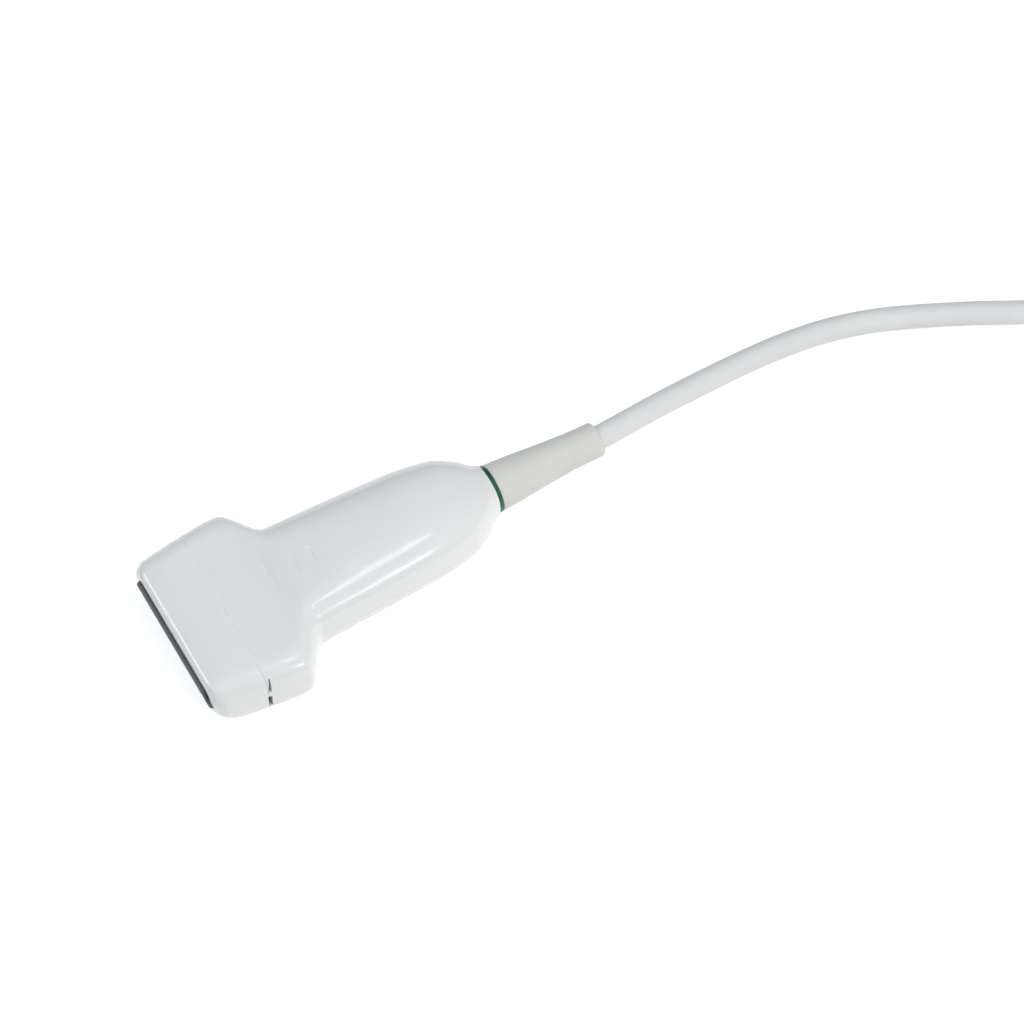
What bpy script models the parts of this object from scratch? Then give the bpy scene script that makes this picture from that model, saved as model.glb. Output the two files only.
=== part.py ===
"""Linear ultrasound probe with its cable and system connector.

Metres, +Z up. The probe lies on its flat side along X, its lens towards -X and its
cable towards +X. Distances called d are measured from the crown of the lens.
The origin is under the middle of the probe, on the surface that it lies on.
"""
import math

import bmesh
import bpy
import numpy as np
from mathutils import Vector

# Driving dimensions of the housing
NOSE_LENGTH = 0.0172        # lens crown to the seam behind the nose cap
HEAD_LENGTH = 0.0300        # lens crown to the back of the broad head
SHOULDER_RUN = 0.0105       # length in which the shoulders fall to the neck
HANDLE_LENGTH = 0.0535      # neck to where the tail starts to close
TAIL_RUN = 0.0130           # length in which the handle closes to the ring
NOSE_HALF_WIDTH = 0.0270
HEAD_HALF_WIDTH = 0.0302
NECK_HALF_WIDTH = 0.0192
BELLY_HALF_WIDTH = 0.0177
HEAD_CORNER = 0.0080        # rounding between the head's top and its sides
BASE_CORNER = 0.0066        # rounding between its underside and its sides
PART_HEIGHT = 0.0110        # parting plane above the surface
HEAD_RISE = 0.0088          # parting plane up to the head's flat top
NECK_RISE = 0.0102
BELLY_RISE = 0.0128
WALL = 0.0020
GAP = 0.0003                # clearance between pieces that touch
TONGUE_HEIGHT = 0.0012
SPIGOT_LENGTH = 0.0032
SPIGOT_WALL = 0.0016

# Lens and array
LENS_HALF_LENGTH = 0.0228
LENS_HALF_HEIGHT = 0.0050
LENS_CENTRE_HEIGHT = 0.0099
LENS_CORNER = 0.0038
LENS_STAND_OUT = 0.0012     # crown of the lens in front of the cap's rim
LENS_FLANGE = 0.0009
FRONT_WALL = 0.0024
ARRAY_HALF_LENGTH = 0.0200
ARRAY_HALF_HEIGHT = 0.0043
MATCHING_THICKNESS = 0.0006
PIEZO_THICKNESS = 0.0006
BACKING_DEPTH = 0.0095
FLEX_THICKNESS = 0.0004
FRAME_WALL = 0.0007
FRAME_DEPTH = 0.0100

# Side notches that locate a needle guide
NOTCH_WIDTH = 0.0013
NOTCH_DEPTH = 0.0011
NOTCH_LOW = 0.0030
NOTCH_HIGH = 0.0165
NOTCH_NUB = 0.0010

# Electronics
BOARD_HALF_WIDTH = 0.0105
BOARD_THICKNESS = 0.0012
BOARD_SPACING = 0.0040
SOCKET_SIZE = (0.0032, 0.0180, 0.0012)
SPACER_RADIUS = 0.0014
SHIELD_THICKNESS = 0.0004
SHIELD_HALF_WIDTH = 0.0115
SHIELD_HALF_HEIGHT = 0.0057
RIB_THICKNESS = 0.0016
RIB_HALF_WIDTH = 0.0060
BUNDLE_RADIUS = 0.0024
FERRULE_WALL = 0.0007
FERRULE_LENGTH = 0.0085
CLAMP_LENGTH = 0.0070
CLAMP_HALF_WIDTH = 0.0078
CLAMP_HALF_HEIGHT = 0.0048
CLAMP_SCREW_RADIUS = 0.0009

# Ring and strain relief
RING_RADIUS = 0.0076
RING_WIDTH = 0.0013
RELIEF_LENGTH = 0.0349
RELIEF_START_RADIUS = 0.00745
RELIEF_END_RADIUS = 0.0055
RELIEF_SAG = 0.0008
RELIEF_NECK_RADIUS = 0.0048
RELIEF_FLANGE_RADIUS = 0.0064
RELIEF_FLANGE_WIDTH = 0.0018
SOCKET_DEPTH = 0.0040

# Cable, the hank of its stored length and the tie
CABLE_DIAMETER = 0.0075
TURN_PITCH = 0.0077
HANK_COLUMNS = 2
HANK_LAYERS = 3
HANK_NEAR_D = 0.3429        # middle of the hank's fold nearest the probe
HANK_RUN = 0.0820           # straight part between the folds
INNER_FOLD = 0.0227         # fold radius of the inner column of turns
LEAVING_ANGLE = math.radians(48)    # how far round the far fold the cable leaves the hank
LEAVING_BEND = 0.0300       # bend that turns it back towards the connector
FREE_ANGLE = math.radians(28)       # part of that bend that lies against the hank
TIE_THICKNESS = 0.0012
TIE_WIDTH = 0.0100
# The cable's way from the strain relief to the hank: distance d, side, height
CABLE_ROUTE = [
    (0.1462, 0.0001, 0.0101), (0.1535, 0.0008, 0.0096), (0.1625, 0.0020, 0.0082),
    (0.1715, 0.0031, 0.0067), (0.1800, 0.0039, 0.0054), (0.1890, 0.0045, 0.0044),
    (0.1980, 0.0047, 0.0039), (0.2060, 0.0045, 0.0038), (0.2140, 0.0039, 0.0038),
    (0.2220, 0.0029, 0.0038), (0.2295, 0.0014, 0.0038), (0.2365, -0.0005, 0.0038),
    (0.2440, -0.0031, 0.0038), (0.2560, -0.0083, 0.0038), (0.2700, -0.0152, 0.0039),
    (0.2800, -0.0206, 0.0040), (0.2890, -0.0253, 0.0042), (0.2960, -0.0284, 0.0044),
    (0.3030, -0.0300, 0.0047), (0.3100, -0.0304, 0.0050), (0.3205, -0.0304, 0.0052),
]
CONNECTOR_D = 0.4728                # cable end of the connector
CONNECTOR_AXIS = 0.0145             # height of the cable where it enters the connector

# System connector
SHELL_LENGTH = 0.0560
SHELL_WIDTH = 0.0460
SHELL_WALL = 0.0022
BASE_HEIGHT = 0.0220
COVER_HEIGHT = 0.0100
SHELL_CORNER = 0.0060
CONNECTOR_RELIEF_LENGTH = 0.0200
CONNECTOR_RELIEF_RADIUS = 0.0062
BLOCK_HEIGHT = 0.0070
BLOCK_RECESS = 0.0010
SHAFT_RADIUS = 0.0026
SHAFT_CLEARANCE = 0.0003
CROSS_PIN_HALF_LENGTH = 0.0050
KNOB_RADIUS = 0.0130
KNOB_HEIGHT = 0.0035
GRIP_HEIGHT = 0.0070
SCREW_RADIUS = 0.0015

# Shapes of the nose, the tail and the strain relief, as shares of their lengths and sizes
NOSE_ROUND_D = 0.0045
TAIL_SHAPE = [(0.0, 0.80), (0.27, 0.64), (0.62, 0.36), (0.88, 0.07), (1.0, 0.0)]
RELIEF_TAPER = [(0.0, 1.0), (0.18, 0.80), (0.40, 0.47), (0.61, 0.18), (0.76, 0.03), (0.94, 0.0),
                (0.975, -0.12), (1.0, -0.42)]
LENS_CROWN_SHARES = (0.0, 0.45, 0.75, 0.92, 1.0)
CORNER_STEPS = 6
CORNER_POWER = 0.87
ROUND_LIMIT = 0.93
ROUNDING_SAMPLES = 17

# Smaller fittings
POCKET_HALF_HEIGHT = 0.0064
SEAL_OFFSET = 0.0008
SEAL_WIDTH = 0.0010
SEAL_DEPTH = 0.0011
BOARD_SETBACK = 0.0030
SPACER_SHARES = (0.16, 0.84)
SHIELD_RIB_SHARES = (0.24, 0.84)
CLAMP_SETBACK = 0.0058
CLAMP_BEFORE_TAIL = 0.0052
CLAMP_SCREW_SIDE = 0.0057
CLAMP_HOLE_BOTTOM = -0.0040
# Finger marks across the neck: distance d, side, half length
FINGER_MARKS = [(0.0345, 0.0035, 0.0080), (0.0425, 0.0018, 0.0040), (0.0495, 0.0006, 0.0022)]
MARK_WIDTH = 0.0008
MARK_DEPTH = 0.0003
FOLD_SEGMENTS = 16
SCREW_INSET = 0.0050
SCREW_LENGTH = 0.0080
SCREW_HEAD_DEPTH = 0.0024
CONNECTOR_NECK_RADIUS = 0.0042
CROSS_PIN_HEIGHT = 0.0018
CONTACT_ROWS = 2
CONTACT_ROW_PITCH = 0.0055
CONTACT_ROW_LENGTH = 0.0300
CONTACT_ROW_WIDTH = 0.0016
CONTACT_ROW_DEPTH = 0.0012
BOARD_MARGIN = 0.0090
KNOB_SOCKET = 0.0020
GRIP_HALF_WIDTH = 0.0032

# Places that follow from the sizes above
RIM_D = LENS_STAND_OUT
HEAD_FLARE = HEAD_HALF_WIDTH - NOSE_HALF_WIDTH
NECK_D = HEAD_LENGTH + SHOULDER_RUN
TAIL_D = NECK_D + HANDLE_LENGTH
BELLY_D = NECK_D + 0.76 * HANDLE_LENGTH
RING_D = TAIL_D + TAIL_RUN
RELIEF_D = RING_D + RING_WIDTH + 2 * GAP
PROBE_LENGTH = RELIEF_D + RELIEF_LENGTH
NOSE_X = -PROBE_LENGTH / 2
LENS_UP = LENS_CENTRE_HEIGHT - PART_HEIGHT
LENS_BACK_D = LENS_STAND_OUT + FRONT_WALL
STACK_D = LENS_BACK_D + LENS_FLANGE + 2 * GAP
PIEZO_D = STACK_D + MATCHING_THICKNESS + GAP
BACKING_D = PIEZO_D + PIEZO_THICKNESS + FLEX_THICKNESS + 2 * GAP
SEAL_BED = WALL + GAP + SEAL_DEPTH
HOLLOW_END_D = RING_D - 0.0070
FLANGE_D = RING_D - 0.0052
BORE_RADIUS = RELIEF_NECK_RADIUS + GAP
CLAMP_D = TAIL_D - CLAMP_BEFORE_TAIL
BOARD_D = HEAD_LENGTH + BOARD_SETBACK
BOARD_LENGTH = CLAMP_D - CLAMP_SETBACK - BOARD_D
SHELL_TOP = BASE_HEIGHT + COVER_HEIGHT
SHELL_START = CONNECTOR_RELIEF_LENGTH
LOCK_ALONG = SHELL_START + SHELL_LENGTH / 2
HANK_FAR_D = HANK_NEAR_D + HANK_RUN
OUTER_FOLD = INNER_FOLD + (HANK_COLUMNS - 1) * TURN_PITCH
CONNECTOR_Y = LEAVING_BEND - (OUTER_FOLD + LEAVING_BEND) * math.cos(LEAVING_ANGLE)


def remove_everything():
    for item in list(bpy.data.objects):
        bpy.data.objects.remove(item, do_unlink=True)


def material(name, colour, roughness, metallic=0.0):
    made = bpy.data.materials.new(name)
    made.use_nodes = True
    shader = made.node_tree.nodes["Principled BSDF"]
    shader.inputs["Base Color"].default_value = (*colour, 1.0)
    shader.inputs["Roughness"].default_value = roughness
    shader.inputs["Metallic"].default_value = metallic
    return made


def add_object(name, verts, faces, finish, origin=(0, 0, 0)):
    """Mesh object whose own origin lies at the given world point."""
    mesh = bpy.data.meshes.new(name)
    mesh.from_pydata([Vector(v) - Vector(origin) for v in verts], [], faces)
    shape = bmesh.new()
    shape.from_mesh(mesh)
    bmesh.ops.recalc_face_normals(shape, faces=shape.faces)
    shape.to_mesh(mesh)
    shape.free()
    mesh.shade_smooth()
    mesh.set_sharp_from_angle(angle=math.radians(35))
    made = bpy.data.objects.new(name, mesh)
    made.location = origin
    bpy.context.scene.collection.objects.link(made)
    if finish:
        mesh.materials.append(finish)
    return made


def bridge(count, rings, closed):
    """Faces between rings of count points, capped at both ends unless closed."""
    faces = []
    last = rings if closed else rings - 1
    for i in range(last):
        here = i * count
        after = ((i + 1) % rings) * count
        for j in range(count):
            k = (j + 1) % count
            faces.append((here + j, here + k, after + k, after + j))
    if not closed:
        faces.append(tuple(range(count)))
        faces.append(tuple((rings - 1) * count + j for j in range(count)))
    return faces


def loft(name, rings, finish, closed=False, origin=(0, 0, 0)):
    verts = [point for ring in rings for point in ring]
    return add_object(name, verts, bridge(len(rings[0]), len(rings), closed), finish, origin)


def sleeve(name, outer, inner, ends, finish, place):
    """Open tube between two loops of (side, up) points, from ends[0] to ends[1]."""
    corners = [(outer, ends[0]), (outer, ends[1]), (inner, ends[1]), (inner, ends[0])]
    rings = [[place(along, *point) for point in loop] for loop, along in corners]
    return loft(name, rings, finish, closed=True)


def turned(name, profile, place, finish, segments=32, origin=(0, 0, 0)):
    """Closed profile of (along, radius) points turned about an axis."""
    rings = []
    for i in range(segments):
        angle = math.tau * i / segments
        rings.append([place(along, radius * math.cos(angle), radius * math.sin(angle))
                      for along, radius in profile])
    return loft(name, rings, finish, closed=True, origin=origin)


def rod(name, profile, place, finish, segments=20, origin=(0, 0, 0)):
    """Solid turned piece: discs of (along, radius), capped at both ends."""
    rings = [[place(along, radius * math.cos(math.tau * i / segments),
                    radius * math.sin(math.tau * i / segments)) for i in range(segments)]
             for along, radius in profile]
    return loft(name, rings, finish, origin=origin)


def block(name, low, high, finish, bevel=0.0, origin=(0, 0, 0)):
    """Box between two corners, with its edges bevelled."""
    low, high = Vector(low), Vector(high)
    shape = bmesh.new()
    bmesh.ops.create_cube(shape, size=1.0)
    bmesh.ops.scale(shape, vec=high - low, verts=shape.verts)
    bmesh.ops.translate(shape, vec=(low + high) / 2 - Vector(origin), verts=shape.verts)
    if bevel:
        bmesh.ops.bevel(shape, geom=shape.edges[:], offset=bevel, segments=2,
                        affect="EDGES", profile=0.5)
    mesh = bpy.data.meshes.new(name)
    shape.to_mesh(mesh)
    shape.free()
    mesh.shade_smooth()
    mesh.set_sharp_from_angle(angle=math.radians(35))
    made = bpy.data.objects.new(name, mesh)
    made.location = origin
    bpy.context.scene.collection.objects.link(made)
    if finish:
        mesh.materials.append(finish)
    return made


def boolean(target, tool, operation="DIFFERENCE"):
    step = target.modifiers.new(tool.name, "BOOLEAN")
    step.operation = operation
    step.object = tool
    tool.hide_render = True
    tool.display_type = "WIRE"


def on_probe(d, side, up):
    """World point from distance behind the lens crown, side and height over the axis."""
    return (NOSE_X + d, side, PART_HEIGHT + up)


def sag(d):
    """How far the strain relief and what it holds droop under the cable."""
    share = max(0.0, (d - RELIEF_D) / RELIEF_LENGTH)
    return RELIEF_SAG * share ** 2


def on_relief(d, side, up):
    return on_probe(d, side, up - sag(d))


def smooth_curve(knots):
    """Curve through the knots without overshoot, rounded a little where they kink."""
    places = np.array([knot[0] for knot in knots])
    values = np.array([knot[1] for knot in knots])
    steps = np.diff(places)
    slopes = np.diff(values) / steps
    tangents = np.zeros(len(knots))
    for i in range(1, len(knots) - 1):
        if slopes[i - 1] * slopes[i] > 0:
            tangents[i] = 2 * slopes[i - 1] * slopes[i] / (slopes[i - 1] + slopes[i])
    tangents[0], tangents[-1] = slopes[0], slopes[-1]
    fine = np.linspace(places[0], places[-1], 1200)
    part = np.clip(np.searchsorted(places, fine, side="right") - 1, 0, len(steps) - 1)
    run = steps[part]
    t = (fine - places[part]) / run
    curve = (values[part] * (2 * t ** 3 - 3 * t ** 2 + 1) + tangents[part] * run * (t ** 3 - 2 * t ** 2 + t)
             + values[part + 1] * (3 * t ** 2 - 2 * t ** 3) + tangents[part + 1] * run * (t ** 3 - t ** 2))
    window = np.hanning(ROUNDING_SAMPLES)
    padded = np.pad(curve, ROUNDING_SAMPLES // 2, mode="reflect", reflect_type="odd")
    curve = np.convolve(padded, window / window.sum(), mode="valid")[:len(fine)]
    return lambda d: float(np.interp(d, fine, curve))


def tail(belly):
    """Knots along the closing tail, from the belly's size to the ring's radius."""
    return [(TAIL_D + share * TAIL_RUN, RING_RADIUS + part * (belly - RING_RADIUS))
            for share, part in TAIL_SHAPE]


half_width = smooth_curve([
    (RIM_D, NOSE_HALF_WIDTH - 0.0025), (RIM_D + 0.001, NOSE_HALF_WIDTH - 0.0013),
    (NOSE_ROUND_D, NOSE_HALF_WIDTH), (NOSE_LENGTH, NOSE_HALF_WIDTH + 0.68 * HEAD_FLARE),
    (HEAD_LENGTH, HEAD_HALF_WIDTH), (NECK_D, NECK_HALF_WIDTH + 0.0002),
    (NECK_D + 0.35 * HANDLE_LENGTH, NECK_HALF_WIDTH - 0.0004), (BELLY_D, BELLY_HALF_WIDTH),
    *tail(BELLY_HALF_WIDTH)])
rise = smooth_curve([
    (RIM_D, 0.0054), (RIM_D + 0.001, 0.0066), (NOSE_ROUND_D, 0.0078), (0.0095, 0.0087),
    (NOSE_LENGTH, HEAD_RISE - 0.0001), (HEAD_LENGTH, HEAD_RISE), (NECK_D, NECK_RISE),
    (BELLY_D, BELLY_RISE), *tail(BELLY_RISE)])
drop = smooth_curve([
    (RIM_D, 0.0076), (RIM_D + 0.001, 0.0090), (NOSE_ROUND_D, PART_HEIGHT - 0.0007),
    (0.0075, PART_HEIGHT), (BELLY_D, PART_HEIGHT), *tail(PART_HEIGHT)])
upper_corner = smooth_curve([
    (RIM_D, 0.0052), (0.0100, HEAD_CORNER), (HEAD_LENGTH - 0.006, HEAD_CORNER),
    (HEAD_LENGTH + 0.004, HEAD_CORNER + 0.0030), (NECK_D, HEAD_CORNER + 0.0030),
    (NECK_D + 0.35 * HANDLE_LENGTH, 0.0150), (BELLY_D, BELLY_HALF_WIDTH), (RING_D, BELLY_HALF_WIDTH)])
lower_corner = smooth_curve([
    (RIM_D, 0.0068), (NOSE_ROUND_D, 0.0072), (0.0100, BASE_CORNER), (HEAD_LENGTH, BASE_CORNER),
    (NECK_D, 0.0095), (NECK_D + 0.35 * HANDLE_LENGTH, 0.0150), (BELLY_D, BELLY_HALF_WIDTH),
    (RING_D, BELLY_HALF_WIDTH)])


def quarter(width, height, rounding):
    """Quarter of the section, from the side's middle up to where the flat top starts."""
    across = min(rounding, ROUND_LIMIT * width)
    up = min(rounding, ROUND_LIMIT * height)
    points = [(width, 0.0)]
    for i in range(CORNER_STEPS + 1):
        angle = math.pi / 2 * i / CORNER_STEPS
        points.append((width - across + across * math.cos(angle) ** CORNER_POWER,
                       height - up + up * math.sin(angle) ** CORNER_POWER))
    return points


def body_ring(d, inset=0.0):
    """Section of the housing at d, drawn in by inset on every side."""
    width = half_width(d) - inset
    top = quarter(width, rise(d) - inset, max(upper_corner(d) - inset, 0.0005))
    bottom = quarter(width, drop(d) - inset, max(lower_corner(d) - inset, 0.0005))
    loop = [(y, z) for y, z in top] + [(0.0, top[-1][1])]
    loop += [(-y, z) for y, z in reversed(top[1:])]
    loop += [(-y, -z) for y, z in bottom] + [(0.0, -bottom[-1][1])]
    loop += [(y, -z) for y, z in reversed(bottom[1:])]
    return [on_probe(d, y, z) for y, z in loop]


def body(name, start, end, finish, inset=0.0, spacing=0.004):
    """Stretch of the housing's form from start to end, with closer rings on tight curves."""
    marks = [RIM_D, RIM_D + 0.0004, RIM_D + 0.0010, RIM_D + 0.0020, NOSE_ROUND_D, 0.0070]
    marks += list(np.arange(0.0105, HEAD_LENGTH - 0.002, spacing))
    marks += list(np.linspace(HEAD_LENGTH - 0.002, NECK_D + 0.002, 10))
    marks += list(np.arange(NECK_D + 0.006, TAIL_D - 0.004, 1.5 * spacing))
    marks += list(np.linspace(TAIL_D - 0.003, RING_D, 10))
    inside = [d for d in marks if start + 0.0004 < d < end - 0.0004]
    return loft(name, [body_ring(d, inset) for d in [start, *inside, end]], finish)


def rounded_loop(half_across, half_up, rounding, centre_up=0.0, steps=4):
    """Rounded rectangle of (side, up) points."""
    loop = []
    corners = [(1, 1, 0.0), (-1, 1, 90.0), (-1, -1, 180.0), (1, -1, 270.0)]
    for side, up, start in corners:
        for i in range(steps + 1):
            angle = math.radians(start + 90.0 * i / steps)
            loop.append((side * (half_across - rounding) + rounding * math.cos(angle),
                         centre_up + up * (half_up - rounding) + rounding * math.sin(angle)))
    return loop


def prism(name, loop, ends, finish, place=on_probe):
    """Loop of (side, up) points extruded from ends[0] to ends[1]."""
    return loft(name, [[place(end, *point) for point in loop] for end in ends], finish)


def nose():
    """Front cap with the lens opening, the seal groove and the needle guide notches."""
    cap = body("nose_cap", RIM_D, NOSE_LENGTH - GAP / 2, WHITE)
    spigot = body("nose_spigot_form", NOSE_LENGTH - 0.002, NOSE_LENGTH + SPIGOT_LENGTH, None,
                  WALL + GAP)
    boolean(cap, spigot, "UNION")
    pocket = rounded_loop(LENS_HALF_LENGTH - 0.0009, POCKET_HALF_HEIGHT, 0.0016, LENS_UP)
    boolean(cap, prism("nose_pocket_cut", pocket, (LENS_BACK_D, NOSE_LENGTH + 0.010), None))
    inner = body("nose_hollow_cut", NOSE_LENGTH - 0.008, NOSE_LENGTH + 0.010, None,
                 WALL + GAP + SPIGOT_WALL)
    boolean(cap, inner)
    opening = rounded_loop(LENS_HALF_LENGTH + GAP, LENS_HALF_HEIGHT + GAP, LENS_CORNER + GAP, LENS_UP)
    boolean(cap, prism("lens_opening_cut", opening, (-0.002, LENS_BACK_D + 0.001), None))
    d = NOSE_LENGTH + SEAL_OFFSET
    groove = [[(y, z) for _, y, z in body_ring(d, inset)] for inset in (WALL, SEAL_BED)]
    groove = [[(y, z - PART_HEIGHT) for y, z in loop] for loop in groove]
    boolean(cap, sleeve("seal_groove_cut", groove[0], groove[1], (d, d + SEAL_WIDTH + 2 * GAP),
                        None, on_probe))
    for side, word in ((-1, "near"), (1, "far")):
        notch(cap, side, word)
    d += GAP
    rings = [[(y, z - PART_HEIGHT) for _, y, z in body_ring(d, inset)]
             for inset in (WALL + GAP, SEAL_BED - GAP)]
    sleeve("nose_seal", rings[0], rings[1], (d, d + SEAL_WIDTH), RUBBER, on_probe)


def notch(cap, side, word):
    """Two wedges with a nub left between them, cut in the cap's back edge."""
    middle = (NOTCH_LOW + NOTCH_HIGH) / 2
    edge = NOSE_LENGTH + 0.001
    wide = NOSE_LENGTH - NOTCH_WIDTH
    for name, tip, base in (("upper", NOTCH_HIGH, middle + NOTCH_NUB / 2),
                            ("lower", NOTCH_LOW, middle - NOTCH_NUB / 2)):
        outline = [(edge, base), (wide, base), (NOSE_LENGTH - 0.4 * NOTCH_WIDTH, tip), (edge, tip)]
        reach = half_width(NOSE_LENGTH)
        rings = [[(NOSE_X + d, side * y, z) for d, z in outline]
                 for y in (reach - NOTCH_DEPTH, reach + 0.002)]
        boolean(cap, loft("notch_%s_%s_cut" % (word, name), rings, None))


def lens():
    """Silicone lens: a crowned face with rounded ends and a flange behind the front wall."""
    rings = []
    for share in LENS_CROWN_SHARES:
        inset = LENS_HALF_HEIGHT * 0.96 * (1 - share)
        depth = LENS_STAND_OUT * (1 - math.sqrt(1 - share ** 2)) * 0.8
        loop = rounded_loop(LENS_HALF_LENGTH - inset * 0.35, LENS_HALF_HEIGHT - inset,
                            max(LENS_CORNER - inset, 0.00012), LENS_UP)
        rings.append([on_probe(depth, *point) for point in loop])
    flange = rounded_loop(LENS_HALF_LENGTH - 0.0012, LENS_HALF_HEIGHT + 0.0008, LENS_CORNER, LENS_UP)
    edge = rounded_loop(LENS_HALF_LENGTH, LENS_HALF_HEIGHT, LENS_CORNER, LENS_UP)
    start = LENS_BACK_D + GAP
    rings.append([on_probe(start, *point) for point in edge])
    rings.append([on_probe(start, *point) for point in flange])
    rings.append([on_probe(start + LENS_FLANGE, *point) for point in flange])
    loft("acoustic_lens", rings, LENS_GREY)


def slab(name, d, length, half_across, half_up, finish, bevel=0.0, up=0.0):
    """Block centred on the probe's axis, from d to d + length."""
    return block(name, on_probe(d, -half_across, up - half_up),
                 on_probe(d + length, half_across, up + half_up), finish, bevel,
                 on_probe(d, 0.0, up))


def ribbon(name, path, thickness, finish):
    """Thin strip along a path of (d, up, half width), thickened to the path's left."""
    back = []
    for i, (d, up, half) in enumerate(path):
        before = Vector(path[max(i - 1, 0)][:2])
        after = Vector(path[min(i + 1, len(path) - 1)][:2])
        along = (after - before).normalized()
        back.append((d - along.y * thickness, up + along.x * thickness, half))
    loop = [*path, *reversed(back)]
    rings = [[on_probe(d, side * half, up) for d, up, half in loop] for side in (-1, 1)]
    return loft(name, rings, finish)


def array():
    """Matching layer, piezo strip and backing in their frame, with the two flex circuits."""
    slab("matching_layer", STACK_D, MATCHING_THICKNESS, ARRAY_HALF_LENGTH, ARRAY_HALF_HEIGHT,
         MATCHING, up=LENS_UP)
    slab("piezo_array", PIEZO_D, PIEZO_THICKNESS, ARRAY_HALF_LENGTH, ARRAY_HALF_HEIGHT,
         CERAMIC, up=LENS_UP)
    slab("backing_block", BACKING_D, BACKING_DEPTH, ARRAY_HALF_LENGTH, ARRAY_HALF_HEIGHT,
         BACKING, 0.0003, up=LENS_UP)
    inner = ARRAY_HALF_HEIGHT + 2 * GAP + FLEX_THICKNESS
    loops = [rounded_loop(LENS_HALF_LENGTH - 0.0014 - grow, inner + FRAME_WALL - grow, 0.0012, LENS_UP)
             for grow in (0.0, FRAME_WALL)]
    sleeve("array_frame", loops[0], loops[1], (STACK_D, STACK_D + FRAME_DEPTH), ALUMINIUM, on_probe)
    for side, word in ((1, "upper"), (-1, "lower")):
        start = ARRAY_HALF_HEIGHT + GAP
        socket_up = side * (BOARD_SPACING / 2 + BOARD_THICKNESS + GAP + SOCKET_SIZE[2] / 2)
        wide, narrow = 0.88 * ARRAY_HALF_LENGTH, SOCKET_SIZE[1] / 2
        path = [(PIEZO_D + PIEZO_THICKNESS + GAP, LENS_UP + side * start, wide),
                (BACKING_D + BACKING_DEPTH, LENS_UP + side * start, wide),
                (BOARD_D - 0.004, socket_up, narrow), (BOARD_D + 0.001 - GAP, socket_up, narrow)]
        if side < 0:
            path.reverse()
        ribbon("flex_circuit_" + word, path, FLEX_THICKNESS, FLEX)


def electronics():
    """Two boards held apart by spacers inside the shield, and the sockets of the flexes."""
    half = BOARD_THICKNESS / 2
    for side, word in ((1, "upper"), (-1, "lower")):
        up = side * (BOARD_SPACING / 2 + half)
        slab("board_" + word, BOARD_D, BOARD_LENGTH, BOARD_HALF_WIDTH, half, BOARD, up=up)
        up += side * (half + GAP + SOCKET_SIZE[2] / 2)
        slab("flex_socket_" + word, BOARD_D + 0.001, SOCKET_SIZE[0], SOCKET_SIZE[1] / 2,
             SOCKET_SIZE[2] / 2, BLACK, up=up)
    number = 0
    for d in [BOARD_D + share * BOARD_LENGTH for share in SPACER_SHARES]:
        for side in (-1, 1):
            number += 1
            reach = BOARD_SPACING / 2 - GAP
            y = side * (BOARD_HALF_WIDTH - 0.0025)
            rod("board_spacer_%d" % number, [(-reach, SPACER_RADIUS), (reach, SPACER_RADIUS)],
                lambda along, u, v, d=d, y=y: on_probe(d + u, y + v, along), BRASS, 12,
                on_probe(d, y, 0.0))
    loops = [rounded_loop(SHIELD_HALF_WIDTH - t, SHIELD_HALF_HEIGHT - t, 0.0012 - t)
             for t in (0.0, SHIELD_THICKNESS)]
    sleeve("emi_shield", loops[0], loops[1], (BOARD_D - 0.002, BOARD_D + BOARD_LENGTH + 0.002),
           COPPER, on_probe)


def rib(shell, name, d, toward, reach, half_across):
    """Wall inside a shell half, from its skin to within a gap of what it carries."""
    skin = rise(d) if toward > 0 else drop(d)
    low, high = sorted((toward * (skin - 0.7 * WALL), toward * (reach + GAP)))
    form = block(name, on_probe(d - RIB_THICKNESS / 2, -half_across, low),
                 on_probe(d + RIB_THICKNESS / 2, half_across, high), None)
    boolean(shell, form, "UNION")


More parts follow.
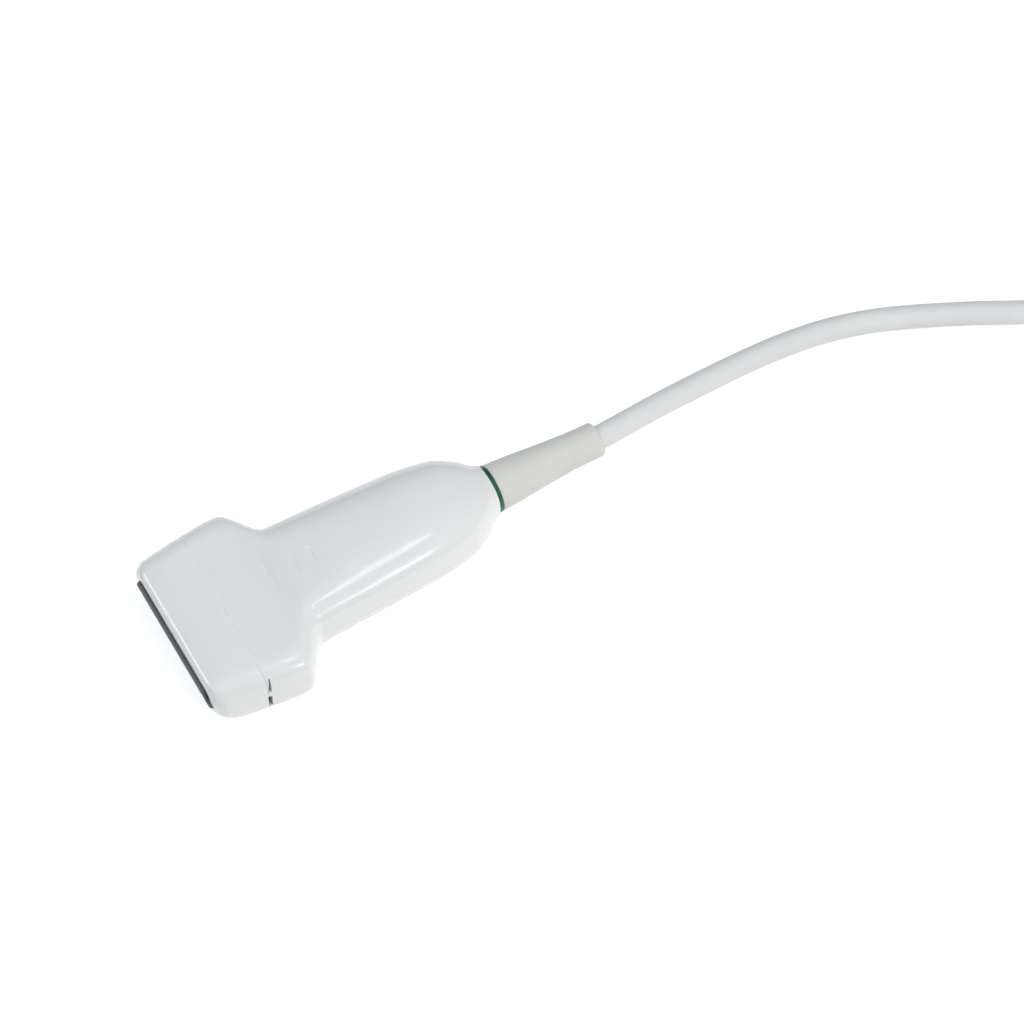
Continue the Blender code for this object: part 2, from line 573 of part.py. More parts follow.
def handle():
    """The two halves of the rear housing, joined by a tongue along the parting plane."""
    start = NOSE_LENGTH + GAP / 2
    reach = 2 * HEAD_HALF_WIDTH
    box_low = on_probe(-0.01, -reach, -reach)
    box_high = on_probe(RING_D + 0.01, reach, reach)
    for toward, word in ((1, "upper"), (-1, "lower")):
        shell = body("handle_" + word, start, RING_D, WHITE)
        if toward > 0:
            away = block("handle_upper_trim_cut", box_low, (*box_high[:2], PART_HEIGHT + GAP / 2), None)
        else:
            away = block("handle_lower_trim_cut", (*box_low[:2], PART_HEIGHT - GAP / 2), box_high, None)
        boolean(shell, away)
        inset = WALL / 2 - GAP / 2 if toward > 0 else WALL / 2 + GAP / 2
        top = TONGUE_HEIGHT + (GAP if toward > 0 else 0.0)
        lip = body("handle_%s_lip_form" % word, start + 0.0002, HOLLOW_END_D + 0.0005, None, inset)
        band = block("handle_%s_band_form" % word, on_probe(start - 0.01, -reach, -0.001),
                     on_probe(RING_D, reach, top), None)
        boolean(lip, band, "INTERSECT")
        boolean(shell, lip, "DIFFERENCE" if toward > 0 else "UNION")
        hollow = body("handle_%s_hollow_cut" % word, start - 0.001, HOLLOW_END_D, None, WALL)
        boolean(shell, hollow)
        seat = [(HOLLOW_END_D - 0.002, 0.0), (HOLLOW_END_D - 0.002, BORE_RADIUS),
                (FLANGE_D, BORE_RADIUS), (FLANGE_D, RELIEF_FLANGE_RADIUS + GAP),
                (FLANGE_D + RELIEF_FLANGE_WIDTH + 2 * GAP, RELIEF_FLANGE_RADIUS + GAP),
                (FLANGE_D + RELIEF_FLANGE_WIDTH + 2 * GAP, BORE_RADIUS), (RING_D + 0.002, BORE_RADIUS)]
        boolean(shell, rod("handle_%s_seat_cut" % word, seat[1:], on_probe, None, 28))
        for number, share in enumerate(SHIELD_RIB_SHARES, 1):
            rib(shell, "shield_rib_%s_%d_form" % (word, number), BOARD_D + share * BOARD_LENGTH,
                toward, SHIELD_HALF_HEIGHT, RIB_HALF_WIDTH)
        rib(shell, "clamp_rib_%s_form" % word, CLAMP_D + CLAMP_LENGTH / 2, toward, CLAMP_HALF_HEIGHT,
            RIB_HALF_WIDTH / 2)
        if toward > 0:
            marks(shell)


def marks(shell):
    """Three shallow finger marks across the neck, each shorter than the last."""
    for number, (d, side, half_long) in enumerate(FINGER_MARKS, 1):
        up = rise(d)
        form = block("finger_mark_%d_cut" % number,
                     on_probe(d - MARK_WIDTH / 2, side - half_long, up - MARK_DEPTH),
                     on_probe(d + MARK_WIDTH / 2, side + half_long, up + 0.001), None)
        boolean(shell, form)


def cable_end():
    """Screened bundle, its ferrule and the clamp that holds it in the housing."""
    fan = [(BOARD_D + BOARD_LENGTH - 0.006, BOARD_HALF_WIDTH - 0.002, BOARD_SPACING / 2 - 0.0005),
           (BOARD_D + BOARD_LENGTH - 0.002, 0.0060, BOARD_SPACING / 2 - 0.0005),
           (BOARD_D + BOARD_LENGTH + 0.003, BUNDLE_RADIUS, BUNDLE_RADIUS)]
    inside = RELIEF_D + RELIEF_LENGTH - SOCKET_DEPTH - GAP
    for d in np.linspace(RELIEF_D, inside, 5):
        fan.append((float(d), BUNDLE_RADIUS, BUNDLE_RADIUS))
    rings = []
    for d, across, up in fan:
        rings.append([on_relief(d, across * math.cos(math.tau * i / 20),
                                up * math.sin(math.tau * i / 20)) for i in range(20)])
    loft("coax_bundle", rings, BRAID)
    inner = BUNDLE_RADIUS + GAP
    outer = inner + FERRULE_WALL
    end = CLAMP_D - 0.0008 + FERRULE_LENGTH
    start = end - FERRULE_LENGTH
    turned("cable_ferrule", [(start, inner), (start, outer), (end, outer), (end, inner)], on_probe,
           BRASS, 20)
    for toward, word in ((1, "upper"), (-1, "lower")):
        low, high = sorted((toward * GAP / 2, toward * CLAMP_HALF_HEIGHT))
        half = block("cable_clamp_" + word, on_probe(CLAMP_D, -CLAMP_HALF_WIDTH, low),
                     on_probe(CLAMP_D + CLAMP_LENGTH, CLAMP_HALF_WIDTH, high), ALUMINIUM)
        bore = [(CLAMP_D - 0.002, outer + GAP), (CLAMP_D + CLAMP_LENGTH + 0.002, outer + GAP)]
        boolean(half, rod("clamp_%s_bore_cut" % word, bore, on_probe, None, 20))
        for side in (-1, 1):
            hole = [(CLAMP_HOLE_BOTTOM, CLAMP_SCREW_RADIUS + GAP), (0.01, CLAMP_SCREW_RADIUS + GAP)]
            boolean(half, rod("clamp_%s_hole_%d_cut" % (word, side + 2), hole, clamp_hole(side), None, 12))
    for number, side in enumerate((-1, 1), 1):
        head = CLAMP_HALF_HEIGHT + GAP
        profile = [(CLAMP_HOLE_BOTTOM + GAP, CLAMP_SCREW_RADIUS), (head, CLAMP_SCREW_RADIUS),
                   (head, 1.7 * CLAMP_SCREW_RADIUS), (head + 0.0008, 1.7 * CLAMP_SCREW_RADIUS)]
        rod("clamp_screw_%d" % number, profile, clamp_hole(side), STEEL, 12,
            on_probe(CLAMP_D + CLAMP_LENGTH / 2, side * CLAMP_SCREW_SIDE, head))


def clamp_hole(side):
    """Placing function for the vertical holes and screws of the clamp."""
    return lambda along, u, v: on_probe(CLAMP_D + CLAMP_LENGTH / 2 + u, side * CLAMP_SCREW_SIDE + v, along)


def strain_relief():
    """Tapered boot with its neck and flange held in the housing, and the coloured ring."""
    front = FLANGE_D + GAP
    back = front + RELIEF_FLANGE_WIDTH
    bore = BUNDLE_RADIUS + GAP
    end = RELIEF_D + RELIEF_LENGTH
    profile = [(front, bore), (front, RELIEF_FLANGE_RADIUS), (back, RELIEF_FLANGE_RADIUS),
               (back, RELIEF_NECK_RADIUS), (RELIEF_D, RELIEF_NECK_RADIUS)]
    for share, part in RELIEF_TAPER:
        radius = RELIEF_END_RADIUS + part * (RELIEF_START_RADIUS - RELIEF_END_RADIUS)
        profile.append((RELIEF_D + share * RELIEF_LENGTH, radius))
    mouth = CABLE_DIAMETER / 2 + GAP
    profile += [(end, mouth), (end - SOCKET_DEPTH, mouth), (end - SOCKET_DEPTH, bore)]
    turned("strain_relief", profile, on_relief, BEIGE, 32, on_probe(RELIEF_D, 0.0, 0.0))
    start = RING_D + GAP
    inner = RELIEF_NECK_RADIUS + GAP
    turned("id_ring", [(start, inner), (start, RING_RADIUS), (start + RING_WIDTH, RING_RADIUS),
                       (start + RING_WIDTH, inner)], on_probe, GREEN, 32, on_probe(start, 0.0, 0.0))


def smooth_route(points, spacing):
    """Points at even steps on a smooth curve through the given points."""
    ends = [points[0] * 2 - points[1], *points, points[-1] * 2 - points[-2]]
    fine = []
    for p0, p1, p2, p3 in zip(ends, ends[1:], ends[2:], ends[3:]):
        for t in np.linspace(0.0, 1.0, 12, endpoint=False):
            fine.append(0.5 * (2 * p1 + (p2 - p0) * t + (2 * p0 - 5 * p1 + 4 * p2 - p3) * t ** 2
                               + (3 * p1 - p0 - 3 * p2 + p3) * t ** 3))
    fine.append(points[-1])
    lengths = [0.0]
    for before, after in zip(fine, fine[1:]):
        lengths.append(lengths[-1] + (after - before).length)
    count = max(3, round(lengths[-1] / spacing) + 1)
    wanted = np.linspace(0.0, lengths[-1], count)
    return [Vector([float(np.interp(w, lengths, [p[axis] for p in fine])) for axis in range(3)])
            for w in wanted]


def tube(name, points, finish):
    """Plain cable along a route, with flat ends."""
    curve = bpy.data.curves.new(name, "CURVE")
    curve.dimensions = "3D"
    curve.bevel_depth = CABLE_DIAMETER / 2
    curve.bevel_resolution = 3
    curve.use_fill_caps = True
    spline = curve.splines.new("POLY")
    spline.points.add(len(points) - 1)
    for place, point in zip(spline.points, points):
        place.co = (*point, 1.0)
    curve.materials.append(finish)
    made = bpy.data.objects.new(name, curve)
    bpy.context.scene.collection.objects.link(made)
    return made


def hank_ring(radius, up):
    """Oval of points round the hank, at the given fold radius."""
    ring = []
    for d, first in ((HANK_FAR_D, -90.0), (HANK_NEAR_D, 90.0)):
        for i in range(FOLD_SEGMENTS + 1):
            angle = math.radians(first + 180.0 * i / FOLD_SEGMENTS)
            ring.append((NOSE_X + d + radius * math.cos(angle), radius * math.sin(angle), up))
    return ring


def cable():
    """The free cable, the hank of its stored length and the tie round the hank."""
    start = RELIEF_D + RELIEF_LENGTH - SOCKET_DEPTH + GAP
    route = [Vector((NOSE_X + d, side, up)) for d, side, up in CABLE_ROUTE]
    points = [on_relief(start, 0.0, 0.0), *smooth_route(route, 2.3 * CABLE_DIAMETER)]
    tube("cable_run", points, CABLE)
    radius = CABLE_DIAMETER / 2
    outer, inner = OUTER_FOLD + radius, INNER_FOLD - radius
    low = GAP + TIE_THICKNESS
    top = low + CABLE_DIAMETER + (HANK_LAYERS - 1) * TURN_PITCH
    soft = 0.35 * CABLE_DIAMETER
    profile = [(inner, low + soft), (inner + soft, low), (outer - soft, low), (outer, low + soft),
               (outer, top - soft), (outer - soft, top), (inner + soft, top), (inner, top - soft)]
    loft("cable_hank", [hank_ring(r, z) for r, z in profile], CABLE, closed=True,
         origin=(NOSE_X + HANK_NEAR_D, 0.0, low))
    loops = []
    for grow in (GAP, GAP + TIE_THICKNESS):
        loops.append(rounded_loop((outer - inner) / 2 + grow, (top - low) / 2 + grow,
                                  soft + grow, (top + low) / 2))
    middle = NOSE_X + (HANK_NEAR_D + HANK_FAR_D) / 2

    def at_tie(along, side, up):
        return (middle + along, side - (outer + inner) / 2, up)

    sleeve("hank_tie", loops[1], loops[0], (-TIE_WIDTH / 2, TIE_WIDTH / 2), STRAP, at_tie)
    tube("cable_tail", leaving_points(low + radius + TURN_PITCH), CABLE)


def leaving_points(height):
    """The cable's way from the hank's far fold to the connector."""
    reach = OUTER_FOLD + LEAVING_BEND
    bend_x = NOSE_X + HANK_FAR_D + reach * math.sin(LEAVING_ANGLE)
    points = []
    for turned_back in np.linspace(FREE_ANGLE, LEAVING_ANGLE, 4):
        heading = LEAVING_ANGLE - turned_back
        up = height + (CONNECTOR_AXIS - height) * turned_back / LEAVING_ANGLE
        points.append(Vector((bend_x - LEAVING_BEND * math.sin(heading),
                              CONNECTOR_Y - LEAVING_BEND * (1 - math.cos(heading)), up)))
    for d in (CONNECTOR_D, CONNECTOR_D + SOCKET_DEPTH - GAP):
        points.append(Vector((NOSE_X + d, CONNECTOR_Y, CONNECTOR_AXIS)))
    return points


def on_connector(along, side, up):
    """World point from distance behind the connector's cable end, side and height."""
    return (NOSE_X + CONNECTOR_D + along, CONNECTOR_Y + side, up)


def upright(name, loop, low, high, finish, origin=(0, 0, 0)):
    """Loop of (along, side) points on the connector, extruded upwards."""
    rings = [[on_connector(along, side, up) for along, side in loop] for up in (low, high)]
    return loft(name, rings, finish, origin=origin)


def shell_loop(inset, steps=5):
    loop = rounded_loop(SHELL_LENGTH / 2 - inset, SHELL_WIDTH / 2 - inset,
                        max(SHELL_CORNER - inset, 0.001), steps=steps)
    return [(SHELL_START + SHELL_LENGTH / 2 + along, side) for along, side in loop]


def corner_posts():
    """Places of the four screws, (along, side) from the connector's cable end."""
    for along in (SHELL_START + SCREW_INSET, SHELL_START + SHELL_LENGTH - SCREW_INSET):
        for side in (-1, 1):
            yield along, side * (SHELL_WIDTH / 2 - SCREW_INSET)


def standing(along, side):
    """Placing function for pieces turned about an upright axis of the connector."""
    return lambda up, u, v: on_connector(along + u, side + v, up)


def connector_housing():
    """Base shroud, cover and the screws that join them."""
    base = upright("connector_base", shell_loop(0.0), 0.0, BASE_HEIGHT, SHELL_GREY,
                   on_connector(SHELL_START, 0.0, 0.0))
    boolean(base, upright("connector_base_hollow_cut", shell_loop(SHELL_WALL), -0.001,
                          BASE_HEIGHT + 0.001, None))
    hole = [(SHELL_START - 0.002, CONNECTOR_NECK_RADIUS + GAP),
            (SHELL_START + SHELL_WALL + 0.001, CONNECTOR_NECK_RADIUS + GAP)]
    boolean(base, rod("connector_cable_hole_cut", hole, cable_axis, None, 24))
    cover = upright("connector_cover", shell_loop(0.0), BASE_HEIGHT + GAP, SHELL_TOP, SHELL_GREY,
                    on_connector(SHELL_START, 0.0, BASE_HEIGHT))
    boolean(cover, upright("connector_cover_hollow_cut", shell_loop(2 * SCREW_INSET), BASE_HEIGHT - 0.001,
                           SHELL_TOP - SHELL_WALL, None))
    bore = SHAFT_RADIUS + SHAFT_CLEARANCE
    boolean(cover, rod("shaft_hole_cut", [(BASE_HEIGHT, bore), (SHELL_TOP + 0.001, bore)],
                       standing(LOCK_ALONG, 0.0), None, 24))
    for number, (along, side) in enumerate(corner_posts(), 1):
        place = standing(along, side)
        post_low = BLOCK_RECESS + BLOCK_HEIGHT + GAP
        post = rod("connector_post_%d_form" % number, [(post_low, SCREW_INSET - SHELL_WALL / 2),
                                                       (BASE_HEIGHT, SCREW_INSET - SHELL_WALL / 2)],
                   place, None, 16)
        boolean(base, post, "UNION")
        clear = SCREW_RADIUS + GAP
        hole = [(BASE_HEIGHT - SCREW_LENGTH, clear), (SHELL_TOP - SCREW_HEAD_DEPTH, clear),
                (SHELL_TOP - SCREW_HEAD_DEPTH, 1.9 * SCREW_RADIUS + GAP),
                (SHELL_TOP + 0.001, 1.9 * SCREW_RADIUS + GAP)]
        cut = rod("connector_screw_hole_%d_cut" % number, hole, place, None, 14)
        boolean(base, cut)
        boolean(cover, cut)
        head = SHELL_TOP - SCREW_HEAD_DEPTH + GAP
        rod("connector_screw_%d" % number,
            [(BASE_HEIGHT - SCREW_LENGTH + GAP, SCREW_RADIUS), (head, SCREW_RADIUS),
             (head, 1.9 * SCREW_RADIUS), (head + 0.0015, 1.7 * SCREW_RADIUS)],
            place, STEEL, 14, on_connector(along, side, head))


def cable_axis(along, side, up):
    return on_connector(along, side, CONNECTOR_AXIS + up)


def connector_relief():
    """Short boot of the connector, held by a flange behind the base's wall."""
    mouth = CABLE_DIAMETER / 2 + GAP
    bore = 0.6 * CONNECTOR_NECK_RADIUS
    face = SHELL_START - GAP
    inside = SHELL_START + SHELL_WALL + GAP
    profile = [(0.0, mouth), (0.0, mouth + 0.0008), (0.0012, mouth + 0.0014),
               (0.35 * face, CONNECTOR_RELIEF_RADIUS), (face, CONNECTOR_RELIEF_RADIUS + 0.0014),
               (face, CONNECTOR_NECK_RADIUS), (inside, CONNECTOR_NECK_RADIUS),
               (inside, CONNECTOR_NECK_RADIUS + 0.0010), (inside + 0.0015, CONNECTOR_NECK_RADIUS + 0.0010),
               (inside + 0.0015, bore), (SOCKET_DEPTH, bore), (SOCKET_DEPTH, mouth)]
    turned("connector_relief", profile, cable_axis, BEIGE, 24, cable_axis(0.0, 0.0, 0.0))


def contacts():
    """Insulating block with its rows of contacts, and the board above it."""
    low, high = BLOCK_RECESS, BLOCK_RECESS + BLOCK_HEIGHT
    block_piece = upright("contact_block", shell_loop(SHELL_WALL + GAP, 3), low, high, BLACK,
                          on_connector(LOCK_ALONG, 0.0, low))
    pin = CROSS_PIN_HALF_LENGTH + SHAFT_CLEARANCE
    well = [(low - 0.001, pin), (low + CROSS_PIN_HEIGHT + 2 * SHAFT_CLEARANCE, pin),
            (low + CROSS_PIN_HEIGHT + 2 * SHAFT_CLEARANCE, SHAFT_RADIUS + SHAFT_CLEARANCE),
            (high + 0.001, SHAFT_RADIUS + SHAFT_CLEARANCE)]
    boolean(block_piece, rod("contact_well_cut", well, standing(LOCK_ALONG, 0.0), None, 24))
    for row in range(CONTACT_ROWS):
        for side in (-1, 1):
            y = side * (pin + CONTACT_ROW_PITCH * (row + 0.8))
            half_long, half_wide = CONTACT_ROW_LENGTH / 2, CONTACT_ROW_WIDTH / 2
            corner_low = on_connector(LOCK_ALONG - half_long, y - half_wide, low - 0.001)
            corner_high = on_connector(LOCK_ALONG + half_long, y + half_wide, low + CONTACT_ROW_DEPTH)
            boolean(block_piece, block("contact_row_%d_%d_cut" % (row + 1, side + 2), corner_low,
                                       corner_high, None))
    half_long = SHELL_LENGTH / 2 - BOARD_MARGIN
    half_wide = SHELL_WIDTH / 2 - SHELL_WALL - 2 * GAP
    board = block("connector_board", on_connector(LOCK_ALONG - half_long, -half_wide, high + GAP),
                  on_connector(LOCK_ALONG + half_long, half_wide, high + GAP + BOARD_THICKNESS), BOARD, 0.0,
                  on_connector(LOCK_ALONG, 0.0, high + GAP))
    opening = SHAFT_RADIUS + 3 * SHAFT_CLEARANCE
    boolean(board, rod("board_hole_cut", [(high, opening), (high + 0.003, opening)],
                       standing(LOCK_ALONG, 0.0), None, 20))


def lock():
    """Locking knob and its shaft, which turn together about an upright axis."""
    place = standing(LOCK_ALONG, 0.0)
    low = BLOCK_RECESS + SHAFT_CLEARANCE
    knob_low = SHELL_TOP + GAP
    shaft_top = knob_low + KNOB_SOCKET
    axis_point = on_connector(LOCK_ALONG, 0.0, SHELL_TOP)
    shaft = rod("lock_shaft", [(low, SHAFT_RADIUS), (shaft_top, SHAFT_RADIUS)], place, STEEL, 20,
                axis_point)
    half = 0.0013
    pin = block("cross_pin_form", on_connector(LOCK_ALONG - CROSS_PIN_HALF_LENGTH + 0.0002, -half, low),
                on_connector(LOCK_ALONG + CROSS_PIN_HALF_LENGTH - 0.0002, half,
                             low + CROSS_PIN_HEIGHT), None)
    boolean(shaft, pin, "UNION")
    rim = 0.0008
    knob = rod("lock_knob", [(knob_low, KNOB_RADIUS - rim), (knob_low + rim, KNOB_RADIUS),
                             (knob_low + KNOB_HEIGHT - rim, KNOB_RADIUS),
                             (knob_low + KNOB_HEIGHT, KNOB_RADIUS - rim)], place, KNOB_GREY, 32, axis_point)
    grip = block("knob_grip_form", on_connector(LOCK_ALONG - KNOB_RADIUS + 0.001, -GRIP_HALF_WIDTH,
                                                knob_low + KNOB_HEIGHT / 2),
                 on_connector(LOCK_ALONG + KNOB_RADIUS - 0.001, GRIP_HALF_WIDTH,
                              knob_low + KNOB_HEIGHT + GRIP_HEIGHT), None, 0.0010)
    boolean(knob, grip, "UNION")
    socket = SHAFT_RADIUS + GAP
    boolean(knob, rod("knob_socket_cut", [(knob_low - 0.001, socket), (shaft_top + GAP, socket)],
                      place, None, 20))


def group(name, words):
    """Empty that carries every piece whose name starts with one of the words."""
    parent = bpy.data.objects.new(name, None)
    bpy.context.scene.collection.objects.link(parent)
    for piece in bpy.data.objects:
        if piece.type != "EMPTY" and piece.name.startswith(words):
            piece.parent = parent


remove_everything()
WHITE = material("white gloss housing", (0.80, 0.81, 0.82), 0.22)
LENS_GREY = material("lens silicone", (0.09, 0.09, 0.095), 0.45)
GREEN = material("green ring", (0.03, 0.20, 0.11), 0.35)
BEIGE = material("beige elastomer", (0.68, 0.67, 0.64), 0.5)
CABLE = material("cable jacket", (0.78, 0.78, 0.77), 0.4)
RUBBER = material("seal rubber", (0.05, 0.05, 0.05), 0.6)
MATCHING = material("matching epoxy", (0.45, 0.42, 0.30), 0.5)
CERAMIC = material("piezo ceramic", (0.75, 0.68, 0.45), 0.5)
BACKING = material("backing epoxy", (0.10, 0.09, 0.09), 0.7)
FLEX = material("flex circuit", (0.75, 0.42, 0.12), 0.4)
BOARD = material("circuit board", (0.05, 0.28, 0.12), 0.4)
BLACK = material("black plastic", (0.03, 0.03, 0.03), 0.5)
STRAP = material("woven strap", (0.04, 0.04, 0.045), 0.9)
ALUMINIUM = material("aluminium", (0.75, 0.75, 0.77), 0.35, 1.0)
COPPER = material("copper shield", (0.85, 0.50, 0.35), 0.3, 1.0)
BRASS = material("brass", (0.80, 0.62, 0.30), 0.3, 1.0)
STEEL = material("steel", (0.70, 0.70, 0.72), 0.25, 1.0)
BRAID = material("braided screen", (0.62, 0.62, 0.63), 0.45, 1.0)
SHELL_GREY = material("connector shell", (0.70, 0.71, 0.72), 0.4)
KNOB_GREY = material("knob plastic", (0.35, 0.37, 0.39), 0.4)

nose()
lens()
array()
electronics()
handle()
cable_end()
strain_relief()
cable()
connector_housing()
connector_relief()
contacts()
lock()
group("connector", ("connector_", "contact_", "lock_"))
group("cable", ("cable_run", "cable_hank", "hank_", "cable_tail"))
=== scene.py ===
import math

import bmesh
import bpy
import numpy as np
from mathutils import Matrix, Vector


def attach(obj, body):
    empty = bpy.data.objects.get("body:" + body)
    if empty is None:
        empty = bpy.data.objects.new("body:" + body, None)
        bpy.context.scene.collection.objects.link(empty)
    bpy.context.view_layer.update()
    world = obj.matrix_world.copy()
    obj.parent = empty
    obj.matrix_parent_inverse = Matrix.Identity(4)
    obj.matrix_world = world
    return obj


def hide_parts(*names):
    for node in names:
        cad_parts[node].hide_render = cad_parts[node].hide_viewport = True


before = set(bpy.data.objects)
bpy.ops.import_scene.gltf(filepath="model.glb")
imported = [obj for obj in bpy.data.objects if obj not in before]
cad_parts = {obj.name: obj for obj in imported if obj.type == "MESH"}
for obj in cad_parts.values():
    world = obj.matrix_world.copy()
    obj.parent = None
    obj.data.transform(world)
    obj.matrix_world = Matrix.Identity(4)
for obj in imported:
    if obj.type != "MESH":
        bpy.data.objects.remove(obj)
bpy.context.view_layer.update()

# Sizes of the housing in metres. Distances d run back from the crown of the lens, as in the part's source.
NOSE_LENGTH = 0.0172
HEAD_LENGTH = 0.0300
SHOULDER_RUN = 0.0105
HANDLE_LENGTH = 0.0535
TAIL_RUN = 0.0122
NOSE_HALF_WIDTH = 0.0270
HEAD_HALF_WIDTH = 0.0302
NECK_HALF_WIDTH = 0.0192
BELLY_HALF_WIDTH = 0.0177
HEAD_CORNER = 0.0080
BASE_CORNER = 0.0066
PART_HEIGHT = 0.0110
HEAD_RISE = 0.0088
NECK_RISE = 0.0102
BELLY_RISE = 0.0128
WALL = 0.0020
GAP = 0.0003
SPIGOT_LENGTH = 0.0032
SPIGOT_WALL = 0.0016
LENS_HALF_LENGTH = 0.0228
LENS_HALF_HEIGHT = 0.0050
LENS_CENTRE_HEIGHT = 0.0099
LENS_CORNER = 0.0038
LENS_STAND_OUT = 0.0012
LENS_FLANGE = 0.0009
FRONT_WALL = 0.0024
POCKET_HALF_HEIGHT = 0.0064
SEAL_OFFSET = 0.0008
SEAL_WIDTH = 0.0010
SEAL_DEPTH = 0.0011
NOTCH_DEPTH = 0.0021
RING_RADIUS = 0.0076
RING_WIDTH = 0.0013
RELIEF_LENGTH = 0.0357
RELIEF_START_RADIUS = 0.00745
RELIEF_END_RADIUS = 0.0055
RELIEF_SAG = 0.0008
RELIEF_NECK_RADIUS = 0.0048
RELIEF_FLANGE_RADIUS = 0.0064
RELIEF_FLANGE_WIDTH = 0.0018
BUNDLE_RADIUS = 0.0024
SOCKET_DEPTH = 0.0040
NOSE_ROUND_D = 0.0045
TAIL_SHAPE = [(0.0, 0.80), (0.27, 0.64), (0.62, 0.36), (0.88, 0.07), (1.0, 0.0)]
RELIEF_TAPER = [(0.0, 1.0), (0.18, 0.80), (0.40, 0.47), (0.61, 0.18), (0.76, 0.03), (0.94, 0.0), (1.0, 0.0)]
CORNER_POWER = 0.87         # below 1 it makes a section's corners a little squarer than arcs
ROUND_LIMIT = 0.93          # largest share of a half width or a height that a corner takes
MIN_CORNER = 0.0005
ROUNDING_SAMPLES = 17       # samples over which the kinks of a curve are smoothed

# Finger marks on the neck, as (distance, side, half length, way): steep towards the lens where the way is 1,
# towards the cable where it is -1
FINGER_MARKS = [(0.0337, 0.0034, 0.0080, 1), (0.0418, 0.0018, 0.0048, 1), (0.0480, 0.0015, 0.0024, -1)]
MARK_DEPTH = 0.00020
MARK_STEEP = 0.00030
MARK_GENTLE = 0.0020
MARKED_FROM = 0.9           # share of the rise above which a section takes the marks
MARK_OFFSET = 0.000013      # keeps the rings of the marks off the even ones

# Cable, hank and tie
CABLE_DIAMETER = 0.0075
TURN_PITCH = 0.0077
HANK_LAYERS = 3
HANK_NEAR_D = 0.3429
HANK_RUN = 0.0820
INNER_FOLD = 0.0227
OUTER_FOLD = INNER_FOLD + TURN_PITCH
LEAVING_ANGLE = math.radians(48)
LEAVING_BEND = 0.0300
TIE_THICKNESS = 0.0012
TIE_WIDTH = 0.0100
CABLE_ROUTE = [
    (0.1462, 0.0001, 0.0101), (0.1535, 0.0008, 0.0096), (0.1625, 0.0020, 0.0082),
    (0.1715, 0.0031, 0.0067), (0.1800, 0.0039, 0.0054), (0.1890, 0.0045, 0.0044),
    (0.1980, 0.0047, 0.0039), (0.2060, 0.0045, 0.0038), (0.2140, 0.0039, 0.0038),
    (0.2220, 0.0029, 0.0038), (0.2295, 0.0014, 0.0038), (0.2365, -0.0005, 0.0038),
    (0.2440, -0.0031, 0.0038), (0.2560, -0.0083, 0.0038), (0.2700, -0.0152, 0.0039),
    (0.2800, -0.0206, 0.0040), (0.2890, -0.0253, 0.0042), (0.2960, -0.0284, 0.0044),
    (0.3030, -0.0300, 0.0044), (0.3100, -0.0304, 0.0045), (0.3205, -0.0304, 0.0045),
]
CONNECTOR_D = 0.4728
CONNECTOR_AXIS = 0.0145

# Connector
SHELL_LENGTH = 0.0560
SHELL_WIDTH = 0.0460
SHELL_WALL = 0.0022
BASE_HEIGHT = 0.0220
COVER_HEIGHT = 0.0100
SHELL_CORNER = 0.0060
CONNECTOR_RELIEF_LENGTH = 0.0200
CONNECTOR_RELIEF_RADIUS = 0.0062
CONNECTOR_NECK_RADIUS = 0.0042
SHAFT_RADIUS = 0.0026
KNOB_RADIUS = 0.0130
KNOB_HEIGHT = 0.0035
GRIP_HEIGHT = 0.0070
GRIP_HALF_WIDTH = 0.0032
KNOB_SOCKET = 0.0020
SCREW_INSET = 0.0050
SCREW_RADIUS = 0.0015
SCREW_LENGTH = 0.0080
SCREW_HEAD_DEPTH = 0.0024
SCREW_HEAD_RADIUS = 1.9 * SCREW_RADIUS
OVERCUT = 0.0010            # how far a cutter reaches past what it cuts

# Places that follow from these
RIM_D = LENS_STAND_OUT
HEAD_FLARE = HEAD_HALF_WIDTH - NOSE_HALF_WIDTH
NECK_D = HEAD_LENGTH + SHOULDER_RUN
TAIL_D = NECK_D + HANDLE_LENGTH
BELLY_D = NECK_D + 0.76 * HANDLE_LENGTH
GRIP_D = NECK_D + 0.35 * HANDLE_LENGTH
GRIP_CORNER = 0.0150
NECK_CORNER = HEAD_CORNER + 0.0030
RING_D = TAIL_D + TAIL_RUN
RELIEF_D = RING_D + RING_WIDTH + 2 * GAP
RELIEF_END_D = RELIEF_D + RELIEF_LENGTH
NOSE_X = -RELIEF_END_D / 2
LENS_UP = LENS_CENTRE_HEIGHT - PART_HEIGHT
LENS_BACK_D = LENS_STAND_OUT + FRONT_WALL
SPIGOT_FACE = WALL + GAP
SEAL_BED = SPIGOT_FACE + SEAL_DEPTH
HOLLOW_END_D = RING_D - 0.0070
FLANGE_D = RING_D - 0.0052
BORE_RADIUS = RELIEF_NECK_RADIUS + GAP
HANK_NEAR = NOSE_X + HANK_NEAR_D
HANK_FAR = HANK_NEAR + HANK_RUN
HANK_MIDDLE = (HANK_NEAR + HANK_FAR) / 2
CONNECTOR_Y = LEAVING_BEND - (OUTER_FOLD + LEAVING_BEND) * math.cos(LEAVING_ANGLE)
SHELL_TOP = BASE_HEIGHT + COVER_HEIGHT
SHELL_START = CONNECTOR_RELIEF_LENGTH
LOCK_ALONG = SHELL_START + SHELL_LENGTH / 2


# Camera, fitted to the outline in the photograph
CAMERA_AIM = Vector((0.0371, -0.0095, 0.0100))
CAMERA_TURN = math.radians(29.44)
CAMERA_DOWN = math.radians(60.10)
CAMERA_DISTANCE = 1.2
CAMERA_LENS = 141.76

